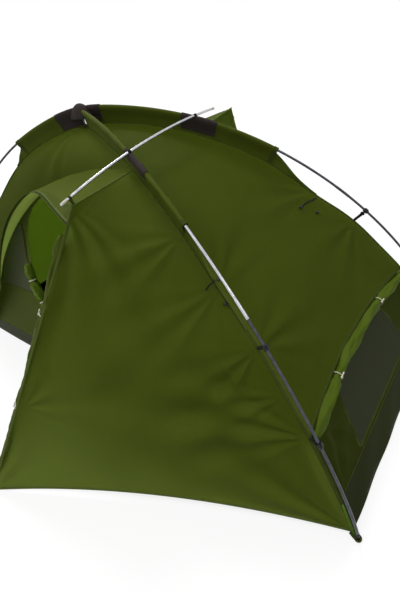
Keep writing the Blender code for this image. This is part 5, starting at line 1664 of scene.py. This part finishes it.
def wound(line, n, b, r, angle):
    """Spiral rows about a line, at radii for each row and angle."""
    return line[:, None] + r[..., None] * (np.cos(angle)[None, :, None] * n[:, None]
                                           + np.sin(angle)[None, :, None] * b[:, None])


def rolled_cloth(name, axis_point, first, last, held, core, radius, waist, turns, grain, ruck, tip, node,
                 finish):
    """Sheet wound up in a spiral, uneven and drawn in at its toggles, narrower at its ends."""
    rows = 121
    places = np.linspace(first, last, rows)
    samples = np.linspace(first, last, 41)
    line = np.array([axis_point(v)[0] for v in samples])
    seat = np.array([axis_point(v)[1] for v in samples])
    line = between(places, samples, line)
    seat = between(places, samples, seat)
    tangent = tangents(line)
    n = unit(square_to(seat, tangent))
    b = np.cross(tangent, n)
    length = np.linalg.norm(line[-1] - line[0]) / (last - first)
    tied = np.zeros(rows)
    for place in held:
        tied = np.maximum(tied, np.exp(-((places - place) * length / 0.020) ** 4))
    ends = np.clip(np.minimum(places - first, last - places) * length / 0.05, 0, 1)
    envelope = waist + (radius - waist) * (1 - tied)
    envelope = envelope * (tip + (1 - tip) * ends ** 0.6)
    angle = np.linspace(0, 2 * math.pi * turns, int(grain * turns) + 1)
    theta = angle - angle[-1]
    growth = (angle / angle[-1])[None, :]
    r = core + (envelope[:, None] - core) * growth
    slack = ruck * (1 - 0.8 * tied)[:, None]
    r = r * (1 + unevenness(theta[None, :], places[:, None], length) * slack)
    grid = wound(line, n, b, r, theta)
    wind = run_along(grid[rows // 2])
    down = (places - first) * length
    uv = np.stack(np.meshgrid(down, wind, indexing="ij"), -1).reshape(-1, 2)
    sheet_piece(name, grid, finish, [node], uv=uv)


FLAP_EDGE = end_grid("right", True, 9, 13)
DOOR_EDGE = front_grid(False, 9, 11)


def flap_axis(u):
    point, _, off = edge_frame(FLAP_EDGE[-1], FLAP_EDGE[-2], u)
    return point + off * (FLAP_ROLL_R + GAP), -off


def door_axis(v):
    point, along_edge, off = edge_frame(DOOR_EDGE[:, -1], DOOR_EDGE[:, -2], v)
    face = np.cross(along_edge, off)
    inward = face * math.copysign(1.0, -face[0])
    back = inward * (DOOR_ROLL_R + CLOTH / 2 + DOOR_ROLL_CLEAR)
    return point + back - off * DOOR_ROLL_R * DOOR_ROLL_INSET, -inward


AXES = {"flap": (flap_axis, FLAP_ROLL_R), "door": (door_axis, DOOR_ROLL_R)}

rolled_cloth("end_flap_cloth", flap_axis, first=0.022, last=0.978, held=FLAP_TIES, core=0.0040,
             radius=0.0200, waist=FLAP_ROLL_R - WAIST - GAP, turns=4, grain=26, ruck=2.6, tip=0.5,
             node="end_flap_roll", finish=ROLLED_CLOTH)
rolled_cloth("door_cloth", door_axis, first=0.085, last=0.935, held=DOOR_TIES, core=0.0025,
             radius=0.0168, waist=DOOR_ROLL_R - WAIST - GAP, turns=5, grain=20, ruck=2.2, tip=0.22,
             node="door_roll", finish=DOOR_ROLL_CLOTH)


LOOP_CORD_R = 0.0013


def toggle_piece(name, which, place):
    """Elastic loop round a roll and the small moulded bar that holds it."""
    axis_point, radius = AXES[which]
    centre = axis_point(place)[0]
    t = unit(axis_point(place + 0.01)[0] - axis_point(place - 0.01)[0])
    face = np.array([1.0, -0.2, 0.6]) if which == "flap" else np.array([-1.0, -0.6, 0.0])
    n = unit(face - np.dot(face, t) * t)
    b = np.cross(t, n)
    angles = np.linspace(0, 2 * math.pi, 41)
    loop_r = radius - WAIST + RUN + LOOP_CORD_R
    line = np.array([centre + loop_r * (math.cos(a) * n + math.sin(a) * b) for a in angles])
    outward = unit(line - centre)
    rings = tube_rings(line, outward, np.broadcast_to(t, line.shape), LOOP_CORD_R, 8)
    loop = loft(f"{name}_loop", rings, CREAM, body=name)
    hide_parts(name)
    half = TOGGLE_LENGTH / 2
    middle = centre + n * (loop_r + LOOP_CORD_R + TOGGLE_R * 0.7)
    steps = ((-half, 0.5), (-half + 0.0008, 0.85), (-half + 0.0025, 1.0), (-0.004, 0.92), (-0.0022, 0.68),
             (0.0022, 0.68), (0.004, 0.92), (half - 0.0025, 1.0), (half - 0.0008, 0.85), (half, 0.5))
    points = np.array([middle + t * e for e, _ in steps])
    rings = tube_rings(points, np.broadcast_to(n, points.shape), np.broadcast_to(b, points.shape),
                       [k * TOGGLE_R for _, k in steps], 16)
    loft(f"{name}_bar", rings, CREAM, body=name)


for toggle in TOGGLES:
    toggle_piece(*toggle)


# Corner straps, zip and small fittings

def corner_strap(leg):
    """Folded webbing with a set eyelet between the groundsheet's corner and the tip."""
    foot = FEET[leg]
    base, rim = tub_corner(leg)
    corner = base + (rim - base) * TAB_Z / TUB_HEIGHT
    run = unit(np.array([foot[0] - corner[0], foot[1] - corner[1], 0.0]))
    across = np.array([-run[1], run[0], 0.0])
    length = np.linalg.norm(foot[:2] - corner[:2]) + 0.004
    count = 48
    hole = round_outline(count)
    outer = []
    for c, s in hole:
        if c >= 0:
            outer.append((TAB_HALF_WIDTH * c, TAB_HALF_WIDTH * s))
        else:
            k = min(length / max(-c, 1e-6), TAB_HALF_WIDTH / max(abs(s), 1e-6))
            outer.append((c * k, s * k))
    outer = np.array(outer)
    centre = np.array([foot[0], foot[1], 0.0])

    def level(outline, z):
        return centre + outline[:, :1] * run + outline[:, 1:] * across + np.array([0, 0, z])

    inner = hole * (PIN_R + RUN)
    top, low = TAB_Z + TAB_THICK, TAB_Z
    rings = np.array([level(inner, low), level(outer * 0.97, low), level(outer, low + 0.0005),
                      level(outer, top - 0.0005), level(outer * 0.97, top), level(inner, top)])
    strap = piece(f"corner_strap_{leg}", rings.reshape(-1, 3), ring_faces(len(rings), count),
                  OLIVE_TAPE, smooth=40)
    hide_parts(f"corner_tab_{leg}")
    profile = [(0.0036, top + 0.0002), (0.0040, top + 0.0008), (0.0052, top + 0.0009), (0.0060, top + 0.0001),
               (0.0060, low - 0.0001), (0.0052, low - 0.0008), (0.0040, low - 0.0007), (0.0036, low - 0.0001)]
    rings = np.array([level(hole * r, z) for r, z in profile])
    eyelet = piece(f"corner_eyelet_{leg}", rings.reshape(-1, 3), ring_faces(len(rings), count), TIP_ALLOY,
                   smooth=40)


for leg_name in LEGS:
    corner_strap(leg_name)


NEAR_ZIP_OUT = 0.0048     # how far the zips run outside the roof's edge
FAR_ZIP_OUT = 0.0004


def zip_runs():
    """Zip tape and coil under the near arch's edge, and a covering flap along the far, closed arch."""
    for far in (False, True):
        grid = roof_grid(far, 41, 141)
        border, inner = grid[:, -1], grid[:, -2]
        tangent = tangents(border)
        into = unit(square_to(inner - border, tangent))
        normal = facing_out(border, np.cross(tangent, into))
        line = border - into * (NEAR_ZIP_OUT if not far else FAR_ZIP_OUT)
        tape = dense(line, 0.014)
        flat = share(normal, np.linspace(0, 1, len(tape)))
        if not far:
            flat_tape("near_zip_tape", tape, flat, 0.0105, 0.0007, OLIVE_TAPE,
                      lift=-0.0004)
            COIL_LINES.append((tape + flat * 0.0003, flat))
        else:
            flat_tape("far_zip_flap", tape, flat, 0.030, 0.0012, ROOF_CLOTH,
                      lift=0.0028, sewn=(-0.8, 0.8))


zip_runs()


def slider_pieces():
    """Rounded body of the near door's zip slider; the pull stays the solid."""
    low, high = (np.array(v, float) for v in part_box("door_slider"))
    grid = roof_grid(False, 8, 13)
    edge, inner = grid[:, -1], grid[:, -2]
    row = len(edge) - 3
    run = unit(edge[row + 1] - edge[row])
    into = unit(inner[row] - edge[row])
    out = unit(np.cross(run, into))
    out = -out if out[1] > 0 else out
    side = np.cross(run, out)
    centre = (low + high) / 2
    rings = []
    for e, w, h in ((-0.0062, 0.0030, 0.0015), (-0.0055, 0.0038, 0.0020), (-0.0030, 0.0043, 0.0022),
                    (0.0010, 0.0045, 0.0022), (0.0045, 0.0036, 0.0021), (0.0062, 0.0031, 0.0018),
                    (0.0068, 0.0024, 0.0012)):
        outline = symmetric((w, 0.0), (w, h * 0.7), (w * 0.75, h))
        rings.append([centre + run * e + side * p + out * q for p, q in outline])
    slider = loft("door_slider_shell", rings, ZIP_ALLOY, body="door_slider", smooth=45)
    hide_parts("door_slider")


slider_pieces()


def small_fittings():
    """Straps and hooks that hang by the legs, the corner ties and the peg loops."""
    hook_side = np.array([[0.664, -0.326, 0.676], [0.674, -0.318, 0.690], [0.690, -0.305, 0.705]])
    line = dense(hook_side, 0.004)
    flat_tape("near_hook_strap", line + np.array([0, -0.006, 0.006]), unit(np.array([0.2, -0.6, 0.7])), 0.005,
              0.0014, WEBBING)
    ball("near_hook_knob", (0.695, -0.302, 0.706), 0.0065, 0.0045, BLACK_PLASTIC)
    ball("near_seam_knob", (0.724, -0.331, 0.648), 0.0060, 0.0050, BLACK_PLASTIC)
    line = dense([[0.694, 0.202, 0.663], [0.703, 0.245, 0.664], [0.713, 0.293, 0.655]], 0.005)
    flat_tape("far_hook_strap", line + np.array([0.005, 0, 0.007]), unit(np.array([0.7, 0, 0.7])), 0.006,
              0.0014, WEBBING)
    ball("far_hook_knob", (0.701, 0.203, 0.671), 0.0075, 0.0055, BLACK_PLASTIC)
    ball("far_seam_knob", (0.743, 0.245, 0.631), 0.0065, 0.0050, BLACK_PLASTIC)
    for leg in ("near_right", "near_left", "far_right", "far_left"):
        s = np.linspace(0.885, 0.985, 14)
        part = (s - s[0]) / (s[-1] - s[0])
        side = LEGS[leg][1] * np.array([0.0, 1.0, 0.0])
        bow = np.sin(part * math.pi) * 0.012
        line = seam(leg, s) + leg_outward(leg, s) * (0.004 + bow * 0.6)[:, None] + side * bow[:, None] * 0.6
        flat_tape(f"corner_tie_{leg}", line, leg_outward(leg, s), 0.007, 0.0014, GREEN_TAPE)
    for name, peg, sign in (("near", np.array(PEG), -1), ("far", np.array(FAR_PEG), 1)):
        out = unit(np.array([-0.15, sign * 1.0, 0.0]))
        across = np.array([-out[1], out[0], 0.0])
        angles = np.linspace(-0.35 * math.pi, 1.35 * math.pi, 26)
        lift = np.array([0, 0, 0.006])
        ring = [peg + out * (0.020 + 0.012 * math.sin(a)) + across * 0.012 * math.cos(a) + lift
                for a in angles]
        line = dense([peg - out * 0.004 + across * 0.003 + lift, *ring[::-1],
                      peg - out * 0.004 - across * 0.003 + lift], 0.003)
        flat_tape(f"{name}_peg_loop", line, np.array([0.0, 0.0, 1.0]), 0.0055, 0.0024, WEBBING)


def ball(name, centre, radius, half_height, finish):
    """Small moulded knob with a groove round it."""
    angles = np.linspace(-0.48 * math.pi, 0.48 * math.pi, 11)
    outline = round_outline(16)
    centre = np.array(centre, float)
    rings = []
    for a in angles:
        r = radius * math.cos(a) * (1 - 0.14 * math.exp(-(a / 0.18) ** 2))
        rings.append(np.column_stack([centre[0] + r * outline[:, 0], centre[1] - r * outline[:, 1],
                                      np.full(16, centre[2] + half_height * math.sin(a))]))
    loft(name, rings, finish)


small_fittings()


INNER_TIES = (0.30, 0.72)
INNER_CORE = 0.003
INNER_STAND = 0.020       # how far the bundle stands off the wall


def inner_door_bundle():
    """Inner door gathered at the lower left of its opening, held by two cream ties."""
    flat = [(-0.455, 0.530), (-0.447, 0.480), (-0.432, 0.430), (-0.408, 0.380), (-0.385, 0.335),
            (-0.355, 0.300)]
    line = np.array([wall_point("near", x, z, WALL_PLACES) for x, z in flat])
    knots = np.linspace(0, 1, len(line))
    rows = 90
    places = np.linspace(0, 1, rows)
    axis = spline(knots, line, places)
    tangent = tangents(axis)
    out = np.array([0.25, -0.85, 0.45])
    n = unit(square_to(out, tangent))
    b = np.cross(tangent, n)
    tied = np.max([np.exp(-((places - at) / 0.06) ** 2) for at in INNER_TIES], axis=0)
    ends = np.clip(np.minimum(places, 1 - places) / 0.12, 0, 1) ** 0.5
    envelope = (0.013 + 0.011 * (1 - tied)) * (0.45 + 0.55 * ends)
    turns = 4
    angle = np.linspace(0, 2 * math.pi * turns, 20 * turns + 1)
    growth = (angle / angle[-1])[None]
    r = INNER_CORE + (envelope[:, None] - INNER_CORE) * growth
    along = places[:, None]
    ruck = 0.12 * np.sin(4 * angle[None] + along * 14) + 0.07 * np.sin(7 * angle[None] - along * 23)
    r = r * (1 + ruck)
    middle = axis + n * INNER_STAND
    grid = wound(middle, n, b, r, angle)
    for number, place in enumerate(INNER_TIES, 1):
        centre = spline(places, middle, np.array([place]))[0]
        k = int(place * (rows - 1))
        reach = float(r[k, -21:].max()) + 0.0012
        angles = np.linspace(0, 2 * math.pi, 33)
        ring = np.array([centre + reach * (math.cos(a) * n[k] + math.sin(a) * b[k]) for a in angles])
        flat_tape(f"inner_door_tie_{number}", ring, unit(ring - centre), 0.006, 0.0012, CREAM)
    uv = np.stack(np.meshgrid(places * 0.27, angle * 0.012, indexing="ij"), -1).reshape(-1, 2)
    sheet_piece("inner_door_cloth", grid, LINER_CLOTH, [], uv=uv)


inner_door_bundle()

bead_run("seam_stitches", SEWN_LINES, THREAD,
         pitch=0.0045, along=0.0016, across=0.00035, rise=0.0003)
bead_run("near_zip_coil", COIL_LINES, COIL,
         pitch=0.0016, along=0.0006, across=0.0020, rise=0.0005)

# Stage and light

SKY_LIGHT = 0.50          # of the white backdrop's brightness, as light on the tent
FLOOR_CLEAR = 0.0006
FLOOR_PAINT = 0.28
FLOOR_LIFT = 0.77         # glow that brings the floor up to the backdrop's white
# Suns: name, direction towards it, strength, width in degrees
SUNS = (("key_sun", (-0.35, 0.42, 0.84), 0.9, 12), ("top_sun", (-0.30, -0.35, 0.89), 0.75, 30),
        ("side_sun", (0.66, -0.01, 0.75), 0.28, 12))


def seen_rays(tree):
    """1 for rays from the camera, straight or by way of a gloss or a see-through surface."""
    rays = add(tree, "ShaderNodeLightPath")
    seen = maths(tree, "MAXIMUM", rays.outputs["Is Camera Ray"], rays.outputs["Is Glossy Ray"])
    return maths(tree, "MAXIMUM", seen, rays.outputs["Is Transmission Ray"])


def studio():
    """White floor and backdrop, and three suns."""
    scene = bpy.context.scene
    scene.view_settings.view_transform = "Standard"
    size = 30.0
    mesh = bpy.data.meshes.new("floor")
    corners = [(x, y, -FLOOR_CLEAR) for x, y in ((-size, -size), (size, -size), (size, size), (-size, size))]
    mesh.from_pydata(corners, [], [(0, 1, 2, 3)])
    floor = in_scene("floor", mesh)
    mat, tree = finish_tree("painted_studio_floor")
    paint = add(tree, "ShaderNodeBsdfDiffuse", {"Color": (FLOOR_PAINT, FLOOR_PAINT, FLOOR_PAINT, 1)})
    lift = maths(tree, "MULTIPLY", seen_rays(tree), FLOOR_LIFT)
    glow = add(tree, "ShaderNodeEmission", {"Color": (1, 1, 1, 1), "Strength": lift})
    both = add(tree, "ShaderNodeAddShader", {0: paint.outputs[0], 1: glow.outputs[0]})
    add(tree, "ShaderNodeOutputMaterial", {"Surface": both.outputs[0]})
    mesh.materials.append(mat)

    world = bpy.data.worlds.new("studio")
    scene.world = world
    world.use_nodes = True
    tree = world.node_tree
    tree.nodes.clear()
    level = spread_over(tree, seen_rays(tree), SKY_LIGHT, 1.0)
    sky = add(tree, "ShaderNodeBackground", {"Color": (1, 1, 1, 1), "Strength": level})
    add(tree, "ShaderNodeOutputWorld", {"Surface": sky.outputs[0]})

    for name, toward, strength, spread in SUNS:
        lamp = bpy.data.lights.new(name, "SUN")
        lamp.energy = strength
        lamp.angle = math.radians(spread)
        in_scene(name, lamp).rotation_euler = Vector(toward).to_track_quat("Z", "Y").to_euler()


studio()

# Solids that stay, with the finish of their own material

KEPT = {"anodised_alloy": ALLOY, "tip_alloy": TIP_ALLOY, "shock_cord": CORD, "black_webbing": WEBBING,
        "scuff_patch": SCUFF, "cream_toggle": CREAM, "zip_alloy": ZIP_ALLOY, "olive_ripstop": ROOF_CLOTH,
        "olive_ripstop_front": FRONT_CLOTH, "olive_inner": LINER_CLOTH, "grey_net": NET,
        "floor_cloth": FLOOR_CLOTH}
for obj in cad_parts.values():
    for spot in obj.material_slots:
        base = spot.material.name.split(".")[0]
        if base in KEPT:
            spot.material = KEPT[base]
